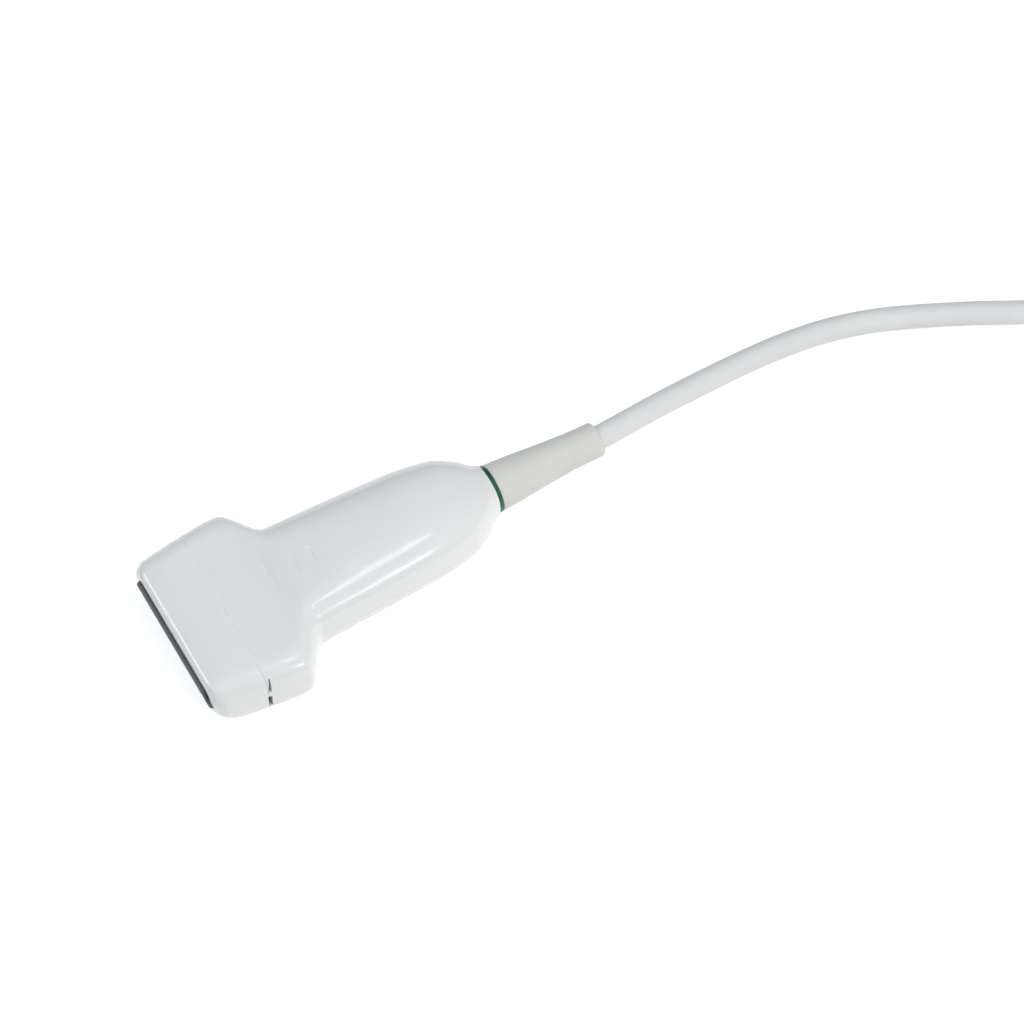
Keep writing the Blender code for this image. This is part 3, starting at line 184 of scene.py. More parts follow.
forward = Vector((math.sin(CAMERA_TURN) * math.cos(CAMERA_DOWN),
                  math.cos(CAMERA_TURN) * math.cos(CAMERA_DOWN), -math.sin(CAMERA_DOWN)))
camera_data = bpy.data.cameras.new("camera")
camera_data.sensor_width = 36.0
camera_data.lens = CAMERA_LENS
camera_data.clip_start = 0.01
camera_data.clip_end = 50.0
camera = bpy.data.objects.new("camera", camera_data)
camera.location = CAMERA_AIM - forward * CAMERA_DISTANCE
camera.rotation_mode = "QUATERNION"
camera.rotation_quaternion = forward.to_track_quat("-Z", "Y")
bpy.context.scene.collection.objects.link(camera)
bpy.context.scene.camera = camera


# Mesh helpers
def add_mesh(name, verts, faces, sharp=35.0):
    mesh = bpy.data.meshes.new(name)
    mesh.from_pydata([tuple(v) for v in verts], [], faces)
    shape = bmesh.new()
    shape.from_mesh(mesh)
    bmesh.ops.recalc_face_normals(shape, faces=shape.faces)
    shape.to_mesh(mesh)
    shape.free()
    mesh.shade_smooth()
    mesh.set_sharp_from_angle(angle=math.radians(sharp))
    made = bpy.data.objects.new(name, mesh)
    bpy.context.scene.collection.objects.link(made)
    return made


def loft(name, rings, closed=False, sharp=35.0, folded=False):
    """Rings of the same number of points joined by quads, closed round or capped at both ends.

    A cap is a fan about its middle, or a strip of quads where the rings run out and back beside themselves.
    """
    count = len(rings[0])
    verts = [point for ring in rings for point in ring]
    faces = []
    last = len(rings) if closed else len(rings) - 1
    for i in range(last):
        here, after = i * count, ((i + 1) % len(rings)) * count
        for j in range(count):
            k = (j + 1) % count
            faces.append((here + j, here + k, after + k, after + j))
    for first in () if closed else (0, last * count):
        if folded:
            faces += [(first + j, first + j + 1, first + count - 2 - j, first + count - 1 - j)
                      for j in range(count // 2 - 1)]
        else:
            ring = [Vector(verts[first + j]) for j in range(count)]
            middle = len(verts)
            verts.append(tuple(sum(ring, Vector()) / count))
            faces += [(first + j, first + (j + 1) % count, middle) for j in range(count)]
    return add_mesh(name, verts, faces, sharp)


def turned(name, profile, place, segments, sharp):
    """Closed profile of (along, radius) turned about an axis."""
    rings = []
    for i in range(segments):
        angle = math.tau * i / segments
        rings.append([place(along, radius * math.cos(angle), radius * math.sin(angle))
                      for along, radius in profile])
    return loft(name, rings, closed=True, sharp=sharp)


def disc_stack(name, profile, place, segments=48):
    """Solid of discs (along, radius), capped at both ends."""
    rings = [[place(along, radius * math.cos(math.tau * i / segments),
                    radius * math.sin(math.tau * i / segments)) for i in range(segments)]
             for along, radius in profile]
    return loft(name, rings)


def combine(piece, other, operation):
    """Cuts another form from the piece or joins it on, and removes that form."""
    step = piece.modifiers.new(other.name, "BOOLEAN")
    step.object = other
    step.operation = operation
    step.solver = "EXACT"
    bpy.context.view_layer.update()
    graph = bpy.context.evaluated_depsgraph_get()
    result = bpy.data.meshes.new_from_object(piece.evaluated_get(graph))
    piece.modifiers.remove(step)
    before = piece.data
    piece.data = result
    bpy.data.meshes.remove(before)
    bpy.data.objects.remove(other)


def cut(piece, cutters, sharp=35.0):
    for cutter in cutters:
        combine(piece, cutter, "DIFFERENCE")
    piece.data.set_sharp_from_angle(angle=math.radians(sharp))
    return piece


def quarter_turn(steps):
    """Angles of an arc's points, without the one at its start."""
    return [math.pi / 2 * i / steps for i in range(1, steps + 1)]


def on_probe(d, side, up):
    return (NOSE_X + d, side, PART_HEIGHT + up)


def sag(d):
    share = max(0.0, (d - RELIEF_D) / RELIEF_LENGTH)
    return RELIEF_SAG * share ** 2


def on_relief(d, side, up):
    return on_probe(d, side, up - sag(d))


def wear(piece, finish, slot, *stands_for, body="probe"):
    """Gives a finished piece its material and its body, and hides the nodes it replaces; slot is not used.
    """
    piece.data.materials.clear()
    piece.data.materials.append(finish)
    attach(piece, body)
    if stands_for:
        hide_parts(*stands_for)
    return piece


# Materials
NOISE_LOW = 0.3             # most of a noise texture lies between these
NOISE_HIGH = 0.7
RIPPLE_SCALE = 110.0
WEAVE_SCALE = 55.5556
WEAVE_DEPTH = 0.0002
FUZZ_SCALE = 2500.0
FUZZ_DEPTH = 0.00008


def set_inputs(of, **sockets):
    for name, value in sockets.items():
        of.inputs[name.replace("_", " ")].default_value = value
    return of


def node(tree, kind, **sockets):
    return set_inputs(tree.nodes.new(kind), **sockets)


def new_material(name, **sockets):
    """Material with these inputs of its shader, and with it its node tree and its shader."""
    made = bpy.data.materials.new(name)
    made.use_nodes = True
    shader = made.node_tree.nodes["Principled BSDF"]
    return made, made.node_tree, set_inputs(shader, **sockets)


def noise(tree, source, scale, detail, rough):
    made = node(tree, "ShaderNodeTexNoise", Scale=scale, Detail=detail, Roughness=rough)
    tree.links.new(source, made.inputs["Vector"])
    return made.outputs["Fac"]


def between(tree, factor, low, high):
    """Noise stretched so that it runs from low to high."""
    made = node(tree, "ShaderNodeMapRange", From_Min=NOISE_LOW, From_Max=NOISE_HIGH, To_Min=low, To_Max=high)
    tree.links.new(factor, made.inputs["Value"])
    return made.outputs["Result"]


def shades(tree, factor, stops):
    ramp = tree.nodes.new("ShaderNodeValToRGB")
    while len(ramp.color_ramp.elements) < len(stops):
        ramp.color_ramp.elements.new(0.5)
    for element, (place, colour) in zip(ramp.color_ramp.elements, stops):
        element.position = place
        element.color = (*colour, 1.0)
    tree.links.new(factor, ramp.inputs["Fac"])
    return ramp.outputs["Color"]


def bump(tree, height, distance, before=None):
    made = node(tree, "ShaderNodeBump", Distance=distance, Strength=1.0)
    tree.links.new(height, made.inputs["Height"])
    if before is not None:
        tree.links.new(before, made.inputs["Normal"])
    return made.outputs["Normal"]


def moulded(name, light, dark, smooth, dull, patch, grain=900.0, relief=0.00002, metallic=0.0,
            specular=0.5, ripple=0.0):
    """Moulded or machined surface: faint patches of two tones, gloss from smooth to dull, a fine grain."""
    made, tree, shader = new_material(name, Metallic=metallic, Specular_IOR_Level=specular)
    place = tree.nodes.new("ShaderNodeTexCoord").outputs["Object"]
    tone = noise(tree, place, patch, detail=4.0, rough=0.55)
    tree.links.new(shades(tree, tone, [(0.35, dark), (0.65, light)]), shader.inputs["Base Color"])
    uneven = noise(tree, place, 4 * patch, detail=5.0, rough=0.6)
    tree.links.new(between(tree, uneven, smooth, dull), shader.inputs["Roughness"])
    normal = bump(tree, noise(tree, place, grain, detail=2.0, rough=0.6), relief)
    if ripple:
        wide = noise(tree, place, RIPPLE_SCALE, detail=1.0, rough=0.4)
        normal = bump(tree, wide, ripple, before=normal)
    tree.links.new(normal, shader.inputs["Normal"])
    return made


def woven(name, light, dark):
    """Strap cloth: two crossed waves in its tone and height, with fuzz over them."""
    made, tree, shader = new_material(name, Roughness=0.85, Sheen_Weight=0.4, Sheen_Roughness=0.5)
    place = tree.nodes.new("ShaderNodeTexCoord").outputs["Object"]
    cross = tree.nodes.new("ShaderNodeMath")
    cross.operation = "MULTIPLY"
    for number, direction in enumerate(("X", "Y")):
        wave = node(tree, "ShaderNodeTexWave", Scale=WEAVE_SCALE, Distortion=0.6, Detail=1.0)
        wave.bands_direction = direction
        tree.links.new(place, wave.inputs["Vector"])
        tree.links.new(wave.outputs["Fac"], cross.inputs[number])
    weave = cross.outputs["Value"]
    tree.links.new(shades(tree, weave, [(0.1, dark), (0.8, light)]), shader.inputs["Base Color"])
    fuzz = noise(tree, place, FUZZ_SCALE, detail=2.0, rough=0.7)
    normal = bump(tree, fuzz, FUZZ_DEPTH, before=bump(tree, weave, WEAVE_DEPTH))
    tree.links.new(normal, shader.inputs["Normal"])
    return made


HOUSING = moulded("housing_gloss", (0.585, 0.590, 0.592), (0.570, 0.576, 0.580), 0.11, 0.17,
                  patch=28.0, grain=1400.0, relief=0.000004, ripple=0.000010)
LENS_FACE = moulded("lens_silicone", (0.040, 0.040, 0.042), (0.028, 0.028, 0.030), 0.42, 0.55,
                    patch=120.0, grain=2600.0, relief=0.00001)
RING_GREEN = moulded("ring_green", (0.010, 0.076, 0.044), (0.007, 0.060, 0.034), 0.28, 0.40,
                     patch=160.0, grain=2200.0, relief=0.00001)
RELIEF_SOFT = moulded("relief_elastomer", (0.507, 0.502, 0.475), (0.483, 0.478, 0.453), 0.48, 0.62,
                      patch=60.0, grain=1900.0, relief=0.00003, specular=0.2)
JACKET = moulded("cable_jacket", (0.548, 0.550, 0.551), (0.524, 0.526, 0.527), 0.38, 0.50,
                 patch=50.0, grain=1600.0, relief=0.00002, specular=0.2, ripple=0.00003)
STRAP = woven("strap_weave", (0.075, 0.075, 0.082), (0.012, 0.012, 0.014))
SHELL = moulded("connector_shell_plastic", (0.520, 0.528, 0.536), (0.495, 0.503, 0.512), 0.42, 0.56,
                patch=40.0, grain=1100.0, relief=0.00006)
KNOB = moulded("knob_plastic", (0.115, 0.122, 0.132), (0.095, 0.101, 0.110), 0.36, 0.50,
               patch=60.0, grain=1300.0, relief=0.00005)
STEEL = moulded("steel_turned", (0.62, 0.62, 0.63), (0.52, 0.52, 0.54), 0.22, 0.38, patch=200.0,
                grain=2600.0, relief=0.00001, metallic=1.0)
BLACK = moulded("black_plastic_satin", (0.030, 0.030, 0.032), (0.018, 0.018, 0.020), 0.40, 0.58,
                patch=90.0, grain=1500.0, relief=0.00004)
RUBBER = moulded("seal_rubber_soft", (0.040, 0.040, 0.042), (0.024, 0.024, 0.026), 0.60, 0.75,
                 patch=120.0, grain=1800.0, relief=0.00003)
MATCHING = moulded("matching_epoxy_cast", (0.42, 0.38, 0.24), (0.34, 0.30, 0.18), 0.40, 0.55,
                   patch=150.0)
CERAMIC = moulded("piezo_ceramic_diced", (0.62, 0.54, 0.34), (0.54, 0.46, 0.28), 0.45, 0.60,
                  patch=180.0)
BACKING = moulded("backing_filled_epoxy", (0.070, 0.064, 0.060), (0.040, 0.036, 0.034), 0.60, 0.80,
                  patch=200.0, grain=900.0, relief=0.00008)
FLEX = moulded("flex_polyimide", (0.60, 0.30, 0.07), (0.48, 0.22, 0.05), 0.28, 0.42, patch=90.0)
BOARD = moulded("board_green", (0.030, 0.190, 0.075), (0.018, 0.130, 0.050), 0.30, 0.45,
                patch=130.0, grain=1400.0, relief=0.00002)
COPPER = moulded("copper_foil", (0.82, 0.44, 0.28), (0.66, 0.33, 0.20), 0.24, 0.42, patch=70.0,
                 metallic=1.0)
ALUMINIUM = moulded("aluminium_milled", (0.70, 0.70, 0.72), (0.60, 0.60, 0.62), 0.26, 0.42,
                    patch=110.0, metallic=1.0)
BRASS = moulded("brass_turned", (0.76, 0.54, 0.22), (0.62, 0.42, 0.16), 0.24, 0.40, patch=160.0,
                metallic=1.0)
BRAID = moulded("screen_braid", (0.60, 0.60, 0.61), (0.34, 0.34, 0.35), 0.35, 0.60, patch=900.0,
                grain=2200.0, relief=0.0001, metallic=1.0)


# Cable, which comes first because its hank has to fit the frame. The hank's laps run along the near side,
# round the far fold, back and round the near fold, each of these one step. A shift gives the steps between
# which the cable changes its column or its layer, and the way.
COLUMN_SHIFTS = [(3.1, 4.0, -1), (14.0, 14.9, 1)]
LAYER_SHIFTS = [(6.5, 7.5, 1), (10.5, 11.5, 1), (17.33, 18.0, -1)]
LEAVING_STEP = 21 + LEAVING_ANGLE / math.pi
HANK_SAMPLES = 12           # points of the route in each step
BEND_SAMPLES = 7
CURVE_SAMPLES = 12          # points of the smooth curve from one point of the route to the next
CABLE_SPACING = 0.0026      # from one ring of the cable's tube to the next
CABLE_SIDES = 24
TABLE_GAP = 0.0001
REST_HEIGHT = CABLE_DIAMETER / 2 + TABLE_GAP
TIE_LIFT = GAP + TIE_THICKNESS - TABLE_GAP
TIE_LIFT_RUN = 0.0450       # length in which the near run rises on to the strap under it
TIE_LIFT_REACH = 1.45       # from the hank's middle to where it starts to rise, in those lengths


def ease(share):
    share = min(1.0, max(0.0, share))
    return 0.5 - 0.5 * math.cos(math.pi * share)


def shifted(step, shifts):
    """Columns or layers that the cable has changed by after so many steps."""
    return sum(way * ease((step - start) / (end - start)) for start, end, way in shifts)


def hank_point(step):
    """Point of the folded cable after so many steps of its laps."""
    radius = OUTER_FOLD + TURN_PITCH * shifted(step, COLUMN_SHIFTS)
    share = step % 4
    if share < 1:
        x, y = HANK_NEAR + share * HANK_RUN, -radius
    elif share < 2:
        angle = math.pi * (share - 1.5)
        x, y = HANK_FAR + radius * math.cos(angle), radius * math.sin(angle)
    elif share < 3:
        x, y = HANK_FAR - (share - 2) * HANK_RUN, radius
    else:
        angle = math.pi * (share - 2.5)
        x, y = HANK_NEAR + radius * math.cos(angle), radius * math.sin(angle)
    lift = TIE_LIFT * ease(TIE_LIFT_REACH - abs(x - HANK_MIDDLE) / TIE_LIFT_RUN) if y < 0 else 0.0
    return Vector((x, y, REST_HEIGHT + lift + shifted(step, LAYER_SHIFTS) * TURN_PITCH))


def smooth_route(points, spacing):
    """Points at even steps on a smooth curve through the given points."""
    ends = [points[0] * 2 - points[1], *points, points[-1] * 2 - points[-2]]
    fine = []
    for p0, p1, p2, p3 in zip(ends, ends[1:], ends[2:], ends[3:]):
        for t in np.linspace(0.0, 1.0, CURVE_SAMPLES, endpoint=False):
            fine.append(0.5 * (2 * p1 + (p2 - p0) * t + (2 * p0 - 5 * p1 + 4 * p2 - p3) * t ** 2
                               + (3 * p1 - p0 - 3 * p2 + p3) * t ** 3))
    fine.append(points[-1])
    lengths = [0.0]
    for before, after in zip(fine, fine[1:]):
        lengths.append(lengths[-1] + (after - before).length)
    wanted = np.linspace(0.0, lengths[-1], round(lengths[-1] / spacing) + 1)
    return [Vector([float(np.interp(w, lengths, [p[axis] for p in fine])) for axis in range(3)])
            for w in wanted]


def cable_centreline():
    """The cable from inside the strain relief through the hank to inside the connector's boot."""
    inside = RELIEF_END_D - SOCKET_DEPTH + GAP
    run = [Vector(on_relief(inside, 0.0, 0.0)), Vector(on_relief(RELIEF_END_D - 0.0010, 0.0, 0.0))]
    run += [Vector((NOSE_X + d, side, up)) for d, side, up in CABLE_ROUTE]
    entry = hank_point(0.0)
    run.append(Vector((run[-1].x * 0.5 + entry.x * 0.5, entry.y, (run[-1].z + entry.z) / 2)))
    steps = np.linspace(0.0, LEAVING_STEP, round(LEAVING_STEP * HANK_SAMPLES) + 1)
    run += [hank_point(step) for step in steps]
    low = run[-1].z
    bend_x = HANK_FAR + (OUTER_FOLD + LEAVING_BEND) * math.sin(LEAVING_ANGLE)
    for turned_back in np.linspace(0.0, LEAVING_ANGLE, BEND_SAMPLES)[1:]:
        heading = LEAVING_ANGLE - turned_back
        up = low + (CONNECTOR_AXIS - low) * ease(turned_back / LEAVING_ANGLE)
        run.append(Vector((bend_x - LEAVING_BEND * math.sin(heading),
                           CONNECTOR_Y - LEAVING_BEND * (1 - math.cos(heading)), up)))
    for d in (CONNECTOR_D, CONNECTOR_D + SOCKET_DEPTH - GAP):
        run.append(Vector((NOSE_X + d, CONNECTOR_Y, CONNECTOR_AXIS)))
    return smooth_route(run, CABLE_SPACING)


def tube(name, points, radius, sides):
    """Round tube along points, its rings carried along without twist."""
    tangents = []
    for i in range(len(points)):
        tangents.append((points[min(i + 1, len(points) - 1)] - points[max(i - 1, 0)]).normalized())
    across = Vector((0.0, 0.0, 1.0)).cross(tangents[0]).normalized()
    rings = []
    for point, tangent in zip(points, tangents):
        across = (across - tangent * across.dot(tangent)).normalized()
        other = tangent.cross(across)
        rings.append([point + across * (radius * math.cos(math.tau * j / sides))
                      + other * (radius * math.sin(math.tau * j / sides)) for j in range(sides)])
    return loft(name, rings, sharp=60.0)


centreline = cable_centreline()
cable = wear(tube("cable", centreline, CABLE_DIAMETER / 2, CABLE_SIDES), JACKET, "cable",
             "cable_run", "cable_hank", "cable_tail")


# Forms of the housing
SMOOTH_SAMPLES = 1200


def smooth_curve(knots):
    """Curve through the knots without overshoot, rounded a little where they kink."""
    places = np.array([knot[0] for knot in knots])
    values = np.array([knot[1] for knot in knots])
    steps = np.diff(places)
    slopes = np.diff(values) / steps
    tangents = np.zeros(len(knots))
    for i in range(1, len(knots) - 1):
        if slopes[i - 1] * slopes[i] > 0:
            tangents[i] = 2 * slopes[i - 1] * slopes[i] / (slopes[i - 1] + slopes[i])
    tangents[0], tangents[-1] = slopes[0], slopes[-1]
    fine = np.linspace(places[0], places[-1], SMOOTH_SAMPLES)
    part = np.clip(np.searchsorted(places, fine, side="right") - 1, 0, len(steps) - 1)
    run = steps[part]
    t = (fine - places[part]) / run
    curve = (values[part] * (2 * t ** 3 - 3 * t ** 2 + 1) + tangents[part] * run * (t ** 3 - 2 * t ** 2 + t)
             + values[part + 1] * (3 * t ** 2 - 2 * t ** 3) + tangents[part + 1] * run * (t ** 3 - t ** 2))
    window = np.hanning(ROUNDING_SAMPLES)
    padded = np.pad(curve, ROUNDING_SAMPLES // 2, mode="reflect", reflect_type="odd")
    curve = np.convolve(padded, window / window.sum(), mode="valid")[:len(fine)]
    return lambda d: float(np.interp(d, fine, curve))


def tail(belly):
    return [(TAIL_D + share * TAIL_RUN, RING_RADIUS + part * (belly - RING_RADIUS))
            for share, part in TAIL_SHAPE]


half_width = smooth_curve([
    (RIM_D, NOSE_HALF_WIDTH - 0.0025), (RIM_D + 0.001, NOSE_HALF_WIDTH - 0.0013),
    (NOSE_ROUND_D, NOSE_HALF_WIDTH), (NOSE_LENGTH, NOSE_HALF_WIDTH + 0.68 * HEAD_FLARE),
    (HEAD_LENGTH, HEAD_HALF_WIDTH), (NECK_D, NECK_HALF_WIDTH + 0.0002),
    (GRIP_D, NECK_HALF_WIDTH - 0.0004), (BELLY_D, BELLY_HALF_WIDTH),
    *tail(BELLY_HALF_WIDTH)])
rise = smooth_curve([
    (RIM_D, 0.0073), (0.0048, 0.0082), (0.0090, 0.0087), (NOSE_LENGTH, HEAD_RISE - 0.0001),
    (HEAD_LENGTH, HEAD_RISE), (NECK_D, NECK_RISE), (BELLY_D, BELLY_RISE), *tail(BELLY_RISE)])
drop = smooth_curve([
    (RIM_D, 0.0076), (RIM_D + 0.001, 0.0090), (NOSE_ROUND_D, PART_HEIGHT - 0.0007),
    (0.0075, PART_HEIGHT), (BELLY_D, PART_HEIGHT), *tail(PART_HEIGHT)])
upper_corner = smooth_curve([
    (RIM_D, 0.0052), (0.0100, HEAD_CORNER), (HEAD_LENGTH - 0.006, HEAD_CORNER),
    (HEAD_LENGTH + 0.004, NECK_CORNER), (NECK_D, NECK_CORNER), (GRIP_D, GRIP_CORNER),
    (BELLY_D, BELLY_HALF_WIDTH), (RING_D, BELLY_HALF_WIDTH)])
lower_corner = smooth_curve([
    (RIM_D, 0.0068), (NOSE_ROUND_D, 0.0072), (0.0100, BASE_CORNER), (HEAD_LENGTH, BASE_CORNER),
    (NECK_D, 0.0095), (GRIP_D, GRIP_CORNER), (BELLY_D, BELLY_HALF_WIDTH), (RING_D, BELLY_HALF_WIDTH)])

# Points along a quarter of a section
SIDE_STEPS = 3
ARC_STEPS = 16
TOP_STEPS = 18
QUARTER = SIDE_STEPS + ARC_STEPS + TOP_STEPS

# Distances between the rings that the skins are lofted through
SKIN_STEP = 0.0006
MARK_STEP = 0.0005
NECK_STEP = 0.0008
HANDLE_STEP = 0.0010
RIM_RINGS = 22
MARK_RINGS = 6
TAIL_RINGS = 34
HAIR = 0.00002              # keeps rings and pieces apart where they would fall together
FINE_END_D = NOSE_ROUND_D + 0.0020
MARKS_START_D = 0.0336
MARKS_END_D = 0.0504

# Edges, joints and the slopes at the front
EDGE_ROUND = 0.00010        # rounding of the moulded edges along the joints
EDGE_STEPS = 4
EDGE_MIDDLE = 0.29          # how far the middle of a rounding lies inside its corner, as a share of it
JOINT = 0.00001             # half of what shows between the halves
STEP = 0.00008              # how far the cap sits below the handle at the seam
STEP_START = 0.0012         # how far before the seam the cap starts to sink, and the run that it takes
STEP_RUN = 0.0010
SEAM_SLOPE = 0.00014        # width of the slope on the handle that takes up this step
SEAM_FACE = 0.0009
RIM_SLOPE = 0.0012          # width and height of the slope along the top's front edge
RIM_FALL = 0.0005
RAKE = 0.0009               # how far the front leans back below the lens
RAKE_TOP = 0.0135
RAKE_HEIGHT = 0.0060
RAKE_REACH = 0.0090
LENS_FIT = 0.00004          # gap round the lens

# Edge of the lens opening as (behind the rim, wider than the lens), and outer edge of the rim as (behind the
# rim, inside the skin)
OPENING_EDGE = [(0.0004, LENS_FIT), (0.00012, 0.00008), (HAIR, 0.00018), (0.0, 0.00034)]
RIM_EDGE = [(0.0, 0.0003), (0.00006, 0.00008), (0.0002, 0.0)]

# Pocket and hollow behind the lens
POCKET_HALF_LENGTH = LENS_HALF_LENGTH - 0.0009
POCKET_CORNER = 0.0016
POCKET_D = NOSE_LENGTH - 0.0080
HOLLOW_D = NOSE_LENGTH - 0.0070


def quarter(width, height, rounding, start=0.0):
    """Quarter of a section from the side's middle to the top's middle, as (side, up) points."""
    across = min(rounding, ROUND_LIMIT * width)
    up = min(rounding, ROUND_LIMIT * height)
    points = [(width, start + (height - up - start) * i / SIDE_STEPS) for i in range(SIDE_STEPS)]
    for i in range(ARC_STEPS):
        angle = math.pi / 2 * i / ARC_STEPS
        points.append((width - across + across * math.cos(angle) ** CORNER_POWER,
                       height - up + up * math.sin(angle) ** CORNER_POWER))
    points += [((width - across) * (1 - i / TOP_STEPS), height) for i in range(TOP_STEPS + 1)]
    return points


def quarters(d, inset, start=0.0):
    width = half_width(d) - inset
    height = rise(d) - RIM_FALL * max(0.0, 1 - (d - RIM_D) / RIM_SLOPE)
    top = quarter(width, height - inset, max(upper_corner(d) - inset, MIN_CORNER), start)
    bottom = quarter(width, drop(d) - inset, max(lower_corner(d) - inset, MIN_CORNER), start)
    return top, bottom


def full_loop(top, bottom):
    loop = list(top) + [(-y, z) for y, z in reversed(top[:-1])]
    return loop + [(-y, -z) for y, z in bottom[1:]] + [(y, -z) for y, z in reversed(bottom[1:-1])]


def raked(d, side, up):
    """Point of the nose, whose front leans back towards the floor."""
    lean = ease((RAKE_TOP - PART_HEIGHT - up) / RAKE_HEIGHT) * ease(1 - (d - RIM_D) / RAKE_REACH)
    return on_probe(d + RAKE * lean, side, up)


def section(d, inset=0.0):
    return [raked(d, y, z) for y, z in full_loop(*quarters(d, inset))]


def opening(d, half_long, half_high, corner):
    corner_loop = quarter(half_long, half_high, corner)
    return [raked(d, y, z + LENS_UP) for y, z in full_loop(corner_loop, corner_loop)]


def nose():
    """Front cap as one closed shell, with its opening, rim, skin, seam edge and spigot."""
    rings = [opening(RIM_D + behind, LENS_HALF_LENGTH + wider, LENS_HALF_HEIGHT + wider, LENS_CORNER + GAP)
             for behind, wider in [(FRONT_WALL, LENS_FIT), *OPENING_EDGE]]
    rings += [section(RIM_D + behind, inset) for behind, inset in RIM_EDGE]
    for d in (*np.linspace(RIM_D + 0.0004, FINE_END_D, RIM_RINGS),
              *np.arange(FINE_END_D + SKIN_STEP, NOSE_LENGTH - 0.0008, SKIN_STEP),
              *np.linspace(NOSE_LENGTH - SKIN_STEP, NOSE_LENGTH - HAIR, 4)):
        rings.append(section(d, STEP * ease((d - NOSE_LENGTH + STEP_START) / STEP_RUN)))
    groove_start = NOSE_LENGTH + SEAL_OFFSET
    groove_end = groove_start + SEAL_WIDTH + 2 * GAP
    spigot_end = NOSE_LENGTH + SPIGOT_LENGTH
    inside = SPIGOT_FACE + SPIGOT_WALL
    for d, inset in ((NOSE_LENGTH, SEAM_FACE), (NOSE_LENGTH, SPIGOT_FACE), (groove_start, SPIGOT_FACE),
                     (groove_start, SEAL_BED), (groove_end, SEAL_BED), (groove_end, SPIGOT_FACE),
                     (spigot_end, SPIGOT_FACE), (spigot_end, inside), (HOLLOW_D, inside)):
        rings.append(section(d, inset))
    for d in (POCKET_D, LENS_BACK_D):
        rings.append(opening(d, POCKET_HALF_LENGTH, POCKET_HALF_HEIGHT, POCKET_CORNER))
    return cut(loft("nose_cap_skin", rings, closed=True, sharp=40.0), notch_cutters(), 40.0)


# Needle guide notches, as (d, height) outlines: a wedge above a small nub, a slot below it
NOTCH_UPPER = [(0.0167, 0.0131), (0.0181, 0.0131), (0.0186, 0.0175), (0.0183, 0.0177)]
NOTCH_LOWER = [(0.0168, 0.0052), (0.0181, 0.0052), (0.0181, 0.0108), (0.0169, 0.0108)]


def notch_cutters(outlines=(NOTCH_UPPER, NOTCH_LOWER)):
    """Cutters of both sides, each a notch as deep as the wall, following the skin's rounding."""
    top, bottom = quarters(NOSE_LENGTH, 0.0)
    skin = [(-z, y) for y, z in reversed(bottom)] + [(z, y) for y, z in top[1:]]
    heights, breadths = [z for z, _ in skin], [y for _, y in skin]
    made = []
    for side in (-1, 1):
        for outline in outlines:
            reach = [float(np.interp(z - PART_HEIGHT, heights, breadths)) for _, z in outline]
            rings = [[on_probe(d, side * (y + out), z - PART_HEIGHT) for (d, z), y in zip(outline, reach)]
                     for out in (-NOTCH_DEPTH, OVERCUT)]
            made.append(loft("notch_cutter", rings))
    return made


def mark_depth(d, side):
    """Depth of the finger marks at a point of the neck's top."""
    deep = 0.0
    for centre, across, half_long, way in FINGER_MARKS:
        along = abs(side - across) / half_long
        past = (d - centre) * way
        if along < 1.0:
            profile = ease(1 + past / MARK_STEEP) if past < 0 else ease(1 - past / MARK_GENTLE)
            deep = max(deep, MARK_DEPTH * profile * math.sqrt(1 - along ** 2))
    return deep


def half_circle(d, radius, toward):
    """Half loop of the seat for the strain relief, with as many points as half a section."""
    points = []
    for i in range(2 * QUARTER + 3):
        angle = math.pi * i / (2 * QUARTER + 2)
        points.append(on_probe(d, radius * math.cos(angle), toward * max(JOINT, radius * math.sin(angle))))
    return points


def half_skin(d, inset, toward, marked=False):
    """Half of a section, with the edge along the parting plane rounded."""
    top, bottom = quarters(d, inset, JOINT + EDGE_ROUND)
    used = top if toward > 0 else bottom
    width = used[0][0]
    middle = EDGE_MIDDLE * EDGE_ROUND
    line = [(width - EDGE_ROUND, JOINT), (width - middle, JOINT + middle), *used[1:]]
    loop = line + [(-y, z) for y, z in reversed(line[:-1])]
    points = []
    for y, z in loop:
        sunk = mark_depth(d, y) if marked and z > MARKED_FROM * rise(d) else 0.0
        points.append(on_probe(d, y, toward * (z - sunk)))
    return points


def half_distances(upper):
    """Distances of the skin's rings, close together at the finger marks and where the tail curves in."""
    marks = [*np.arange(NOSE_LENGTH + SKIN_STEP, MARKS_START_D - SKIN_STEP, SKIN_STEP),
             *np.arange(MARKS_START_D, MARKS_END_D, MARK_STEP if upper else NECK_STEP),
             *np.arange(MARKS_END_D + HANDLE_STEP, TAIL_D - 0.0040, HANDLE_STEP),
             *np.linspace(TAIL_D - 0.0035, RING_D - 0.0004, TAIL_RINGS)]
    if upper:
        for centre, _, _, way in FINGER_MARKS:
            marks += [centre + MARK_OFFSET - way * MARK_STEEP * i / MARK_RINGS
                      for i in range(MARK_RINGS + 1)]
    return sorted(marks)


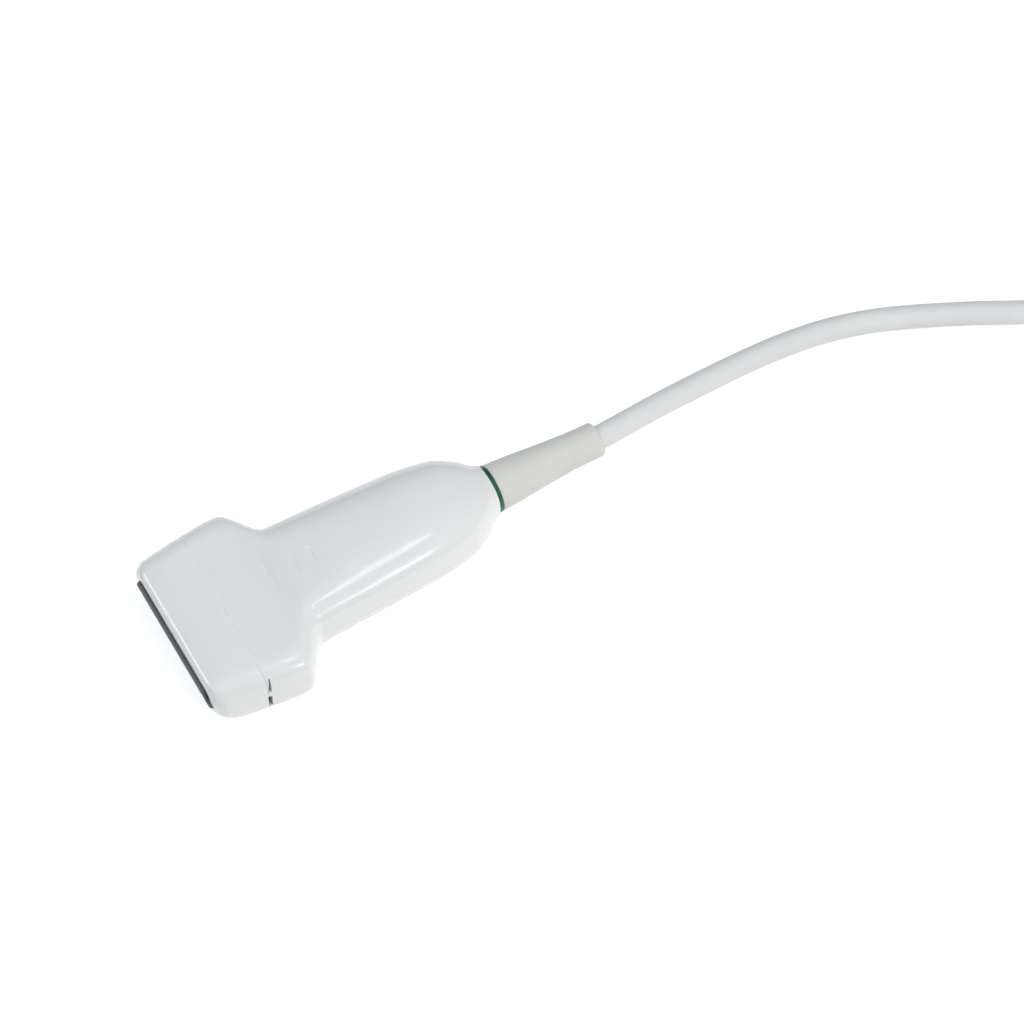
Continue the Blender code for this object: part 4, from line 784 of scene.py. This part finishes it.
def handle_half(name, toward, notch):
    """Half of the rear housing: a closed shell whose loops run over the skin and back inside."""
    outer = [(NOSE_LENGTH, STEP), (NOSE_LENGTH + SEAM_SLOPE, 0.0)]
    outer += [(d, 0.0) for d in (*half_distances(toward > 0), RING_D - EDGE_ROUND - HAIR)]
    outer += [(RING_D - EDGE_ROUND * (1 - math.sin(angle)), EDGE_ROUND * (1 - math.cos(angle)))
              for angle in quarter_turn(EDGE_STEPS)]
    flange_end = FLANGE_D + RELIEF_FLANGE_WIDTH + 2 * GAP
    rings = []
    for d, inset in outer:
        if d < HOLLOW_END_D - 0.0005:
            within = half_skin(d, WALL, toward)
        else:
            flange = FLANGE_D < d < flange_end
            within = half_circle(d, RELIEF_FLANGE_RADIUS + GAP if flange else BORE_RADIUS, toward)
        rings.append(half_skin(d, inset, toward, toward > 0) + list(reversed(within)))
    return cut(loft(name, rings, sharp=40.0, folded=True), notch_cutters([notch]), 40.0)


LENS_RINGS = 13
LENS_CROWN = 0.98           # share of a full half round that the lens face's crown runs through
LENS_FALL = 0.95
LENS_END_SHARE = 0.12       # how much shorter a ring of the face gets for what it gets lower
LENS_LIP = 0.0008
LENS_LIP_SHORTER = 0.0012


def lens():
    """Crowned silicone face with rounded ends, and its flange behind the front wall."""
    rings = []
    for i in range(LENS_RINGS + 1):
        share = math.sin(math.pi / 2 * i / LENS_RINGS)
        inset = LENS_HALF_HEIGHT * LENS_CROWN * (1 - share)
        depth = LENS_STAND_OUT * (1 - math.sqrt(1 - (LENS_CROWN * share) ** 2)) * LENS_FALL
        rings.append(opening(depth, LENS_HALF_LENGTH - inset * LENS_END_SHARE, LENS_HALF_HEIGHT - inset,
                             max(LENS_CORNER - inset, 0.0001)))
    start = LENS_BACK_D + GAP
    for d, shorter, higher in ((RIM_D + 0.0006, 0.0, 0.0), (start, 0.0, 0.0),
                               (start, LENS_LIP_SHORTER, LENS_LIP),
                               (start + LENS_FLANGE, LENS_LIP_SHORTER, LENS_LIP)):
        rings.append(opening(d, LENS_HALF_LENGTH - shorter, LENS_HALF_HEIGHT + higher, LENS_CORNER))
    return loft("lens_face", rings, sharp=50.0)


def soften(points, radius, steps):
    """Closed profile with its corners cut into short curves."""
    rounded = []
    for i, here in enumerate(points):
        before = Vector(points[i - 1]) - Vector(here)
        after = Vector(points[(i + 1) % len(points)]) - Vector(here)
        reach = min(radius, 0.45 * before.length, 0.45 * after.length)
        a, b = Vector(here) + before.normalized() * reach, Vector(here) + after.normalized() * reach
        for j in range(steps + 1):
            t = j / steps
            rounded.append(tuple((1 - t) ** 2 * a + 2 * t * (1 - t) * Vector(here) + t ** 2 * b))
    return rounded


BUNDLE_BORE = BUNDLE_RADIUS + GAP
CABLE_MOUTH = CABLE_DIAMETER / 2 + 0.00005
MOUTH_ROUND = 0.0002
RELIEF_EDGE = [(0.0, 0.00035), (0.00008, 0.00012), (0.00030, 0.0)]     # (behind the ring, inside the skin)
RELIEF_BLUNT = 0.0011       # rounding of its cable end
RING_ROUND = 0.00022


def relief():
    """Tapered boot, smooth from the ring to its blunt end, with its neck and flange."""
    shape = smooth_curve([(share, RELIEF_END_RADIUS + part * (RELIEF_START_RADIUS - RELIEF_END_RADIUS))
                          for share, part in RELIEF_TAPER])
    front = FLANGE_D + GAP
    back = front + RELIEF_FLANGE_WIDTH
    start = RING_D + RING_WIDTH + 3 * HAIR
    profile = [(front, BUNDLE_BORE), (front, RELIEF_FLANGE_RADIUS), (back, RELIEF_FLANGE_RADIUS),
               (back, RELIEF_NECK_RADIUS), (start, RELIEF_NECK_RADIUS)]
    profile += [(start + behind, shape(0.0) - sunk) for behind, sunk in RELIEF_EDGE]
    profile += [(RELIEF_D + share * RELIEF_LENGTH, shape(share)) for share in np.linspace(0.03, 0.95, 40)]
    profile += [(RELIEF_END_D - RELIEF_BLUNT * (1 - math.sin(angle)),
                 RELIEF_END_RADIUS - RELIEF_BLUNT * (1 - math.cos(angle))) for angle in quarter_turn(8)]
    profile += [(RELIEF_END_D, CABLE_MOUTH + MOUTH_ROUND), (RELIEF_END_D - MOUTH_ROUND, CABLE_MOUTH),
                (RELIEF_END_D - SOCKET_DEPTH, CABLE_MOUTH), (RELIEF_END_D - SOCKET_DEPTH, BUNDLE_BORE)]
    return turned("relief_boot", profile, on_relief, 72, 45.0)


def ring():
    start, end = RING_D + HAIR, RING_D + RING_WIDTH + HAIR
    outline = [(start, BORE_RADIUS), (start, RING_RADIUS), (end, RING_RADIUS), (end, BORE_RADIUS)]
    return turned("colour_ring", soften(outline, RING_ROUND, 5), on_probe, 96, 50.0)


wear(nose(), HOUSING, "housing", "nose_cap")
wear(handle_half("handle_skin_upper", 1, NOTCH_UPPER), HOUSING, "housing", "handle_upper")
wear(handle_half("handle_skin_lower", -1, NOTCH_LOWER), HOUSING, "housing", "handle_lower")
wear(lens(), LENS_FACE, "lens", "acoustic_lens")
wear(relief(), RELIEF_SOFT, "strain_relief", "strain_relief")
wear(ring(), RING_GREEN, "ring", "id_ring")


# Tie of the hank
TIE_FIT = 0.0001            # gap inside the strap
TIE_OVER = 0.0002           # how much thicker it is than the solid
TIE_EDGE = 0.0003           # rounding of the strap's edges, outside and inside
TIE_INNER_EDGE = 0.0002
LAP_POINTS = 14
LAP_START = 0.0012          # how far the lap stays from the strap's two sides
LAP_END = 0.0030
LAP_GAP = 0.00023
LAP_INSET = 0.0004
LAP_THICKNESS = 0.0008
LAP_NARROWER = (0.0016, 0.0005, 0.0)        # at its ends, from the outside in
LAP_THINNER = (0.0003, 0.0, 0.0)


def rounded_loop(half_across, half_up, rounding, centre_up=0.0, steps=6):
    loop = []
    for side, up, start in ((1, 1, 0.0), (-1, 1, 90.0), (-1, -1, 180.0), (1, -1, 270.0)):
        for i in range(steps + 1):
            angle = math.radians(start + 90.0 * i / steps)
            loop.append((side * (half_across - rounding) + rounding * math.cos(angle),
                         centre_up + up * (half_up - rounding) + rounding * math.sin(angle)))
    return loop


def on_connector(along, side, up):
    return (NOSE_X + CONNECTOR_D + along, CONNECTOR_Y + side, up)


def tie():
    """Hook and loop strap round the hank's near run, its free end lapped over the top."""
    radius = CABLE_DIAMETER / 2
    inner, outer = INNER_FOLD - radius, OUTER_FOLD + radius
    low = GAP + TIE_THICKNESS
    top = low + CABLE_DIAMETER + (HANK_LAYERS - 1) * TURN_PITCH
    half_across, half_up, middle = (outer - inner) / 2, (top - low) / 2, (top + low) / 2
    centre = Vector((HANK_MIDDLE, -(outer + inner) / 2, 0.0))

    def at_tie(way, side, up):
        return centre + Vector((way, side, up))

    loops = [rounded_loop(half_across + grow, half_up + grow, radius + grow, middle, 8)
             for grow in (TIE_FIT, TIE_THICKNESS + TIE_OVER)]
    half = TIE_WIDTH / 2
    rings = []
    for share, way in ((1, -half + TIE_EDGE), (1, half - TIE_EDGE), (0.7, half), (0.3, half),
                       (0, half - TIE_INNER_EDGE), (0, -half + TIE_INNER_EDGE), (0.3, -half), (0.7, -half)):
        rings.append([at_tie(way, *(np.array(a) * (1 - share) + np.array(b) * share))
                      for a, b in zip(*loops)])
    strap = wear(loft("tie_strap", rings, closed=True, sharp=50.0), STRAP, "strap", "hank_tie")
    lap_low = top + TIE_THICKNESS + LAP_GAP
    rings = []
    for i, side in enumerate(np.linspace(-half_across + LAP_START, half_across - LAP_END, LAP_POINTS)):
        end = min(i, LAP_POINTS - 1 - i, 2)
        wide = half - LAP_INSET - LAP_NARROWER[end]
        thick = LAP_THICKNESS - LAP_THINNER[end]
        edge = [(-wide, 0.0), (-wide, 0.7 * thick), (TIE_EDGE - wide, thick)]
        edge += [(-way, up) for way, up in reversed(edge)]
        rings.append([at_tie(way, side, lap_low + up) for way, up in edge])
    return [strap, wear(loft("tie_lap", rings, sharp=50.0), STRAP, "strap")]


# Connector, whose outlines are (inset, height) pairs
GROOVE_LOW = 0.0070
BASE_EDGE = 0.0006
LID_GAP = 0.0001
HOLE_FIT = 0.0001
SEAT_DEPTH = 0.0002
BOOT_GROOVES = 7
BOOT_GROOVE = [(0.0, 0.0), (0.52, 0.0), (0.60, 0.0004), (0.68, 0.0010), (0.84, 0.0010), (0.92, 0.0004)]
HEX_RADIUS = 0.0013
HEX_DEPTH = 0.0005
KNOB_POINTS = 180
KNOB_FLUTES = 30
FLUTE_DEPTH = 0.00035
WING_WAIST = 0.16


def shell_loop(inset, steps=10):
    loop = rounded_loop(SHELL_LENGTH / 2 - inset, SHELL_WIDTH / 2 - inset,
                        max(SHELL_CORNER - inset, 0.001), steps=steps)
    return [(SHELL_START + SHELL_LENGTH / 2 + along, side) for along, side in loop]


def shell_rings(pairs):
    """Rings of the connector's outline from (inset, up) pairs."""
    return [[on_connector(along, side, up) for along, side in shell_loop(inset)] for inset, up in pairs]


def corner_posts():
    for along in (SHELL_START + SCREW_INSET, SHELL_START + SHELL_LENGTH - SCREW_INSET):
        for side in (-1, 1):
            yield along, side * (SHELL_WIDTH / 2 - SCREW_INSET)


def cable_axis(along, side, up):
    return on_connector(along, side, CONNECTOR_AXIS + up)


def standing(along, side):
    return lambda up, u, v: on_connector(along + u, side + v, up)


def connector():
    """Shroud and lid of the system connector."""
    wall = SHELL_WALL
    base_pairs = [(wall, 0.0004), (wall - 0.0004, 0.0), (0.0010, 0.0), (0.0004, 0.0001), (0.0, BASE_EDGE),
                  (0.0, GROOVE_LOW), (0.0004, GROOVE_LOW + 0.0004), (0.0004, GROOVE_LOW + 0.0012),
                  (0.0, GROOVE_LOW + 0.0016), (0.0, BASE_HEIGHT - BASE_EDGE),
                  (0.0002, BASE_HEIGHT - 0.0002), (BASE_EDGE, BASE_HEIGHT), (wall - 0.0003, BASE_HEIGHT),
                  (wall, BASE_HEIGHT - 0.0004)]
    base = loft("connector_shroud", shell_rings(base_pairs), closed=True)
    hole = CONNECTOR_NECK_RADIUS + GAP
    cut(base, [disc_stack("cable_hole_cutter", [(SHELL_START - 2 * OVERCUT, hole),
                                                (SHELL_START + wall + OVERCUT, hole)], cable_axis)])
    low, top = BASE_HEIGHT + LID_GAP, SHELL_TOP
    lid_pairs = [(0.0006, low), (0.0002, low + 0.0002), (0.0, low + 0.0006), (0.0, top - 0.0024),
                 (0.0002, top - 0.0015), (0.0007, top - 0.0007), (0.0015, top - 0.0002), (0.0026, top)]
    lid = loft("connector_lid", shell_rings(lid_pairs))
    shaft = SHAFT_RADIUS + GAP
    below, above = low - OVERCUT, top + OVERCUT
    cutters = [disc_stack("shaft_hole_cutter", [(below, shaft), (above, shaft)], standing(LOCK_ALONG, 0.0))]
    head_seat = top - SCREW_HEAD_DEPTH
    for along, side in corner_posts():
        profile = [(below, SCREW_RADIUS + GAP), (head_seat, SCREW_RADIUS + GAP),
                   (head_seat, SCREW_HEAD_RADIUS + HOLE_FIT), (above, SCREW_HEAD_RADIUS + HOLE_FIT)]
        cutters.append(disc_stack("screw_hole_cutter", profile, standing(along, side), 32))
    cutters.append(disc_stack("knob_seat_cutter", [(top - SEAT_DEPTH, KNOB_RADIUS + 0.0009),
                                                   (above, KNOB_RADIUS + 0.0011)],
                              standing(LOCK_ALONG, 0.0), 96))
    hollow = [(2 * SCREW_INSET, below), (2 * SCREW_INSET, top - wall)]
    cutters.append(loft("lid_hollow_cutter", shell_rings(hollow)))
    cut(lid, cutters)
    return (wear(base, SHELL, "connector_shell", "connector_base"),
            wear(lid, SHELL, "connector_shell", "connector_cover"))


def connector_boot():
    """Short boot with flex grooves round it."""
    face = SHELL_START - LID_GAP
    inside = SHELL_START + SHELL_WALL + GAP
    bore, flange = 0.6 * CONNECTOR_NECK_RADIUS, CONNECTOR_NECK_RADIUS + 0.0010
    profile = [(MOUTH_ROUND, CABLE_MOUTH), (0.0, CABLE_MOUTH + 0.0003), (0.0, CABLE_MOUTH + 0.0008),
               (0.0005, CABLE_MOUTH + 0.0013)]
    step = (face - 0.0032) / BOOT_GROOVES
    for i in range(BOOT_GROOVES):
        radius = CABLE_MOUTH + 0.0015 + i / BOOT_GROOVES * (CONNECTOR_RELIEF_RADIUS - CABLE_MOUTH - 0.0008)
        profile += [(0.0012 + (i + place) * step, radius - sunk) for place, sunk in BOOT_GROOVE]
    end = CONNECTOR_RELIEF_RADIUS + 0.0014
    profile += [(face - 0.0020, end - 0.0004), (face - 0.0016, end), (face - 0.0003, end),
                (face, end - 0.0003), (face, CONNECTOR_NECK_RADIUS), (inside, CONNECTOR_NECK_RADIUS),
                (inside, flange), (inside + 0.0015, flange), (inside + 0.0015, bore), (SOCKET_DEPTH, bore),
                (SOCKET_DEPTH, CABLE_MOUTH)]
    return wear(turned("connector_boot", profile, cable_axis, 48, 40.0), RELIEF_SOFT, "strain_relief",
                "connector_relief")


def screws():
    made = []
    head = SHELL_TOP - SCREW_HEAD_DEPTH + LID_GAP
    wide = SCREW_HEAD_RADIUS
    profile = [(BASE_HEIGHT - SCREW_LENGTH + GAP, SCREW_RADIUS), (head, SCREW_RADIUS), (head, wide),
               (head + 0.0009, wide), (head + 0.0014, wide - 0.0002), (head + 0.0016, wide - 0.0006)]
    for number, (along, side) in enumerate(corner_posts(), 1):
        place = standing(along, side)
        screw = disc_stack("cover_screw_%d" % number, profile, place, 40)
        socket = disc_stack("hex_cutter", [(head + HEX_DEPTH, HEX_RADIUS), (head + 0.0030, HEX_RADIUS)],
                            place, 6)
        made.append(wear(cut(screw, [socket]), STEEL, "steel", "connector_screw_%d" % number))
    return made


def wing_rings(low):
    """Rounded bar across the knob, a little waisted at the fingers and softened on top."""
    rings = []
    base, top = low + KNOB_HEIGHT / 2, low + KNOB_HEIGHT + GRIP_HEIGHT
    half_long = KNOB_RADIUS - 0.0010
    for up, inset in ((base, 0.0), (top - 0.0016, 0.0003), (top - 0.0007, 0.0006), (top - 0.0002, 0.0011),
                      (top, 0.0018)):
        half_wide = GRIP_HALF_WIDTH - 0.6 * inset
        points = []
        for along, side in rounded_loop(half_long - inset, half_wide, half_wide - 0.0002, steps=10):
            waist = 1 - WING_WAIST * math.cos(min(1.0, abs(along) / half_long) * math.pi / 2)
            points.append(on_connector(LOCK_ALONG + along, side * waist, up))
        rings.append(points)
    return rings


def knob():
    """Knob of the lock: a fluted disc with a wing to turn it by."""
    low = SHELL_TOP + GAP
    top = low + KNOB_HEIGHT
    rings = []
    for up, inset in ((low, 0.0009), (low + 0.0002, 0.0003), (low + 0.0007, 0.0), (top - 0.0010, 0.0),
                      (top - 0.0003, 0.0004), (top, 0.0011)):
        depth = FLUTE_DEPTH if up < top else 0.0
        points = []
        for i in range(KNOB_POINTS):
            angle = math.tau * i / KNOB_POINTS
            radius = KNOB_RADIUS - inset - depth * max(0.0, math.cos(KNOB_FLUTES * angle))
            points.append(on_connector(LOCK_ALONG + radius * math.cos(angle), radius * math.sin(angle), up))
        rings.append(points)
    made = loft("lock_knob_dressed", rings)
    combine(made, loft("wing_form", wing_rings(low)), "UNION")
    hole = SHAFT_RADIUS + GAP
    cut(made, [disc_stack("knob_socket_cutter", [(low - OVERCUT, hole), (low + KNOB_SOCKET + GAP, hole)],
                          standing(LOCK_ALONG, 0.0), 24)])
    return wear(made, KNOB, "knob", "lock_knob", body="lock")


ties = tie()
shroud, lid = connector()
boot = connector_boot()
cover_screws = screws()
lock_knob = knob()

# Materials of the solids that no piece replaces
CAD_FINISH = {
    "nose_seal": RUBBER, "matching_layer": MATCHING, "piezo_array": CERAMIC, "backing_block": BACKING,
    "array_frame": ALUMINIUM, "flex_circuit_upper": FLEX, "flex_circuit_lower": FLEX,
    "board_upper": BOARD, "board_lower": BOARD, "flex_socket_upper": BLACK, "flex_socket_lower": BLACK,
    "emi_shield": COPPER, "coax_bundle": BRAID, "cable_ferrule": BRASS,
    "cable_clamp_upper": ALUMINIUM, "cable_clamp_lower": ALUMINIUM, "clamp_screw_1": STEEL,
    "clamp_screw_2": STEEL, "contact_block": BLACK, "connector_board": BOARD, "lock_shaft": STEEL,
    **{"board_spacer_%d" % number: BRASS for number in range(1, 5)},
}
for name, finish in CAD_FINISH.items():
    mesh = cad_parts[name].data
    mesh.materials.clear()
    mesh.materials.append(finish)


# Floor, world and lights
FLOOR_HALF = 6.0
FLOOR_HEIGHT = -0.00005


def floor():
    corners = [(x, y, FLOOR_HEIGHT) for x, y in ((-FLOOR_HALF, -FLOOR_HALF), (FLOOR_HALF, -FLOOR_HALF),
                                                 (FLOOR_HALF, FLOOR_HALF), (-FLOOR_HALF, FLOOR_HALF))]
    made = add_mesh("floor", corners, [(0, 1, 2, 3)])
    pale, _, _ = new_material("floor_pale", Base_Color=(0.60, 0.60, 0.60, 1.0), Roughness=0.9,
                              Specular_IOR_Level=0.1, Emission_Color=(1.0, 1.0, 1.0, 1.0),
                              Emission_Strength=0.55)
    made.data.materials.append(pale)


def softbox(name, toward, distance, size, strength, colour=(1.0, 1.0, 1.0), mirrored=True):
    """Rectangular lamp in a direction from the object; strength is the brightness of its face."""
    data = bpy.data.lights.new(name, "AREA")
    data.shape = "RECTANGLE"
    data.size, data.size_y = size
    data.energy = math.pi * strength * size[0] * size[1]
    data.color = colour
    made = bpy.data.objects.new(name, data)
    made.location = Vector(toward).normalized() * distance
    made.rotation_mode = "QUATERNION"
    made.rotation_quaternion = Vector(toward).to_track_quat("Z", "Y")
    made.visible_glossy = mirrored
    bpy.context.scene.collection.objects.link(made)


COOL = (0.90, 0.97, 1.0)
WARM = (1.0, 0.978, 0.945)
world = bpy.data.worlds.new("studio")
world.use_nodes = True
set_inputs(world.node_tree.nodes["Background"], Color=(*COOL, 1.0), Strength=0.12)
bpy.context.scene.world = world
bpy.context.scene.view_settings.view_transform = "Standard"

# Broad soft light from above and from the near side, then small boxes that the gloss mirrors
floor()
softbox("softbox_above", toward=(0.0, 0.0, 1.0), distance=1.6, size=(1.3, 1.3), strength=3.06, colour=COOL,
        mirrored=False)
softbox("softbox_near", toward=(0.45, -0.70, 0.55), distance=1.8, size=(1.4, 1.0), strength=5.75,
        colour=WARM, mirrored=False)
softbox("softbox_edge", toward=(-0.63, 0.43, 0.65), distance=1.3, size=(0.50, 0.50), strength=7.4,
        colour=COOL)
softbox("strip_above", toward=(0.165, -0.25, 0.95), distance=1.3, size=(0.13, 0.34), strength=4.8)
softbox("strip_near", toward=(0.24, -0.82, 0.53), distance=1.3, size=(0.12, 0.24), strength=6.6)
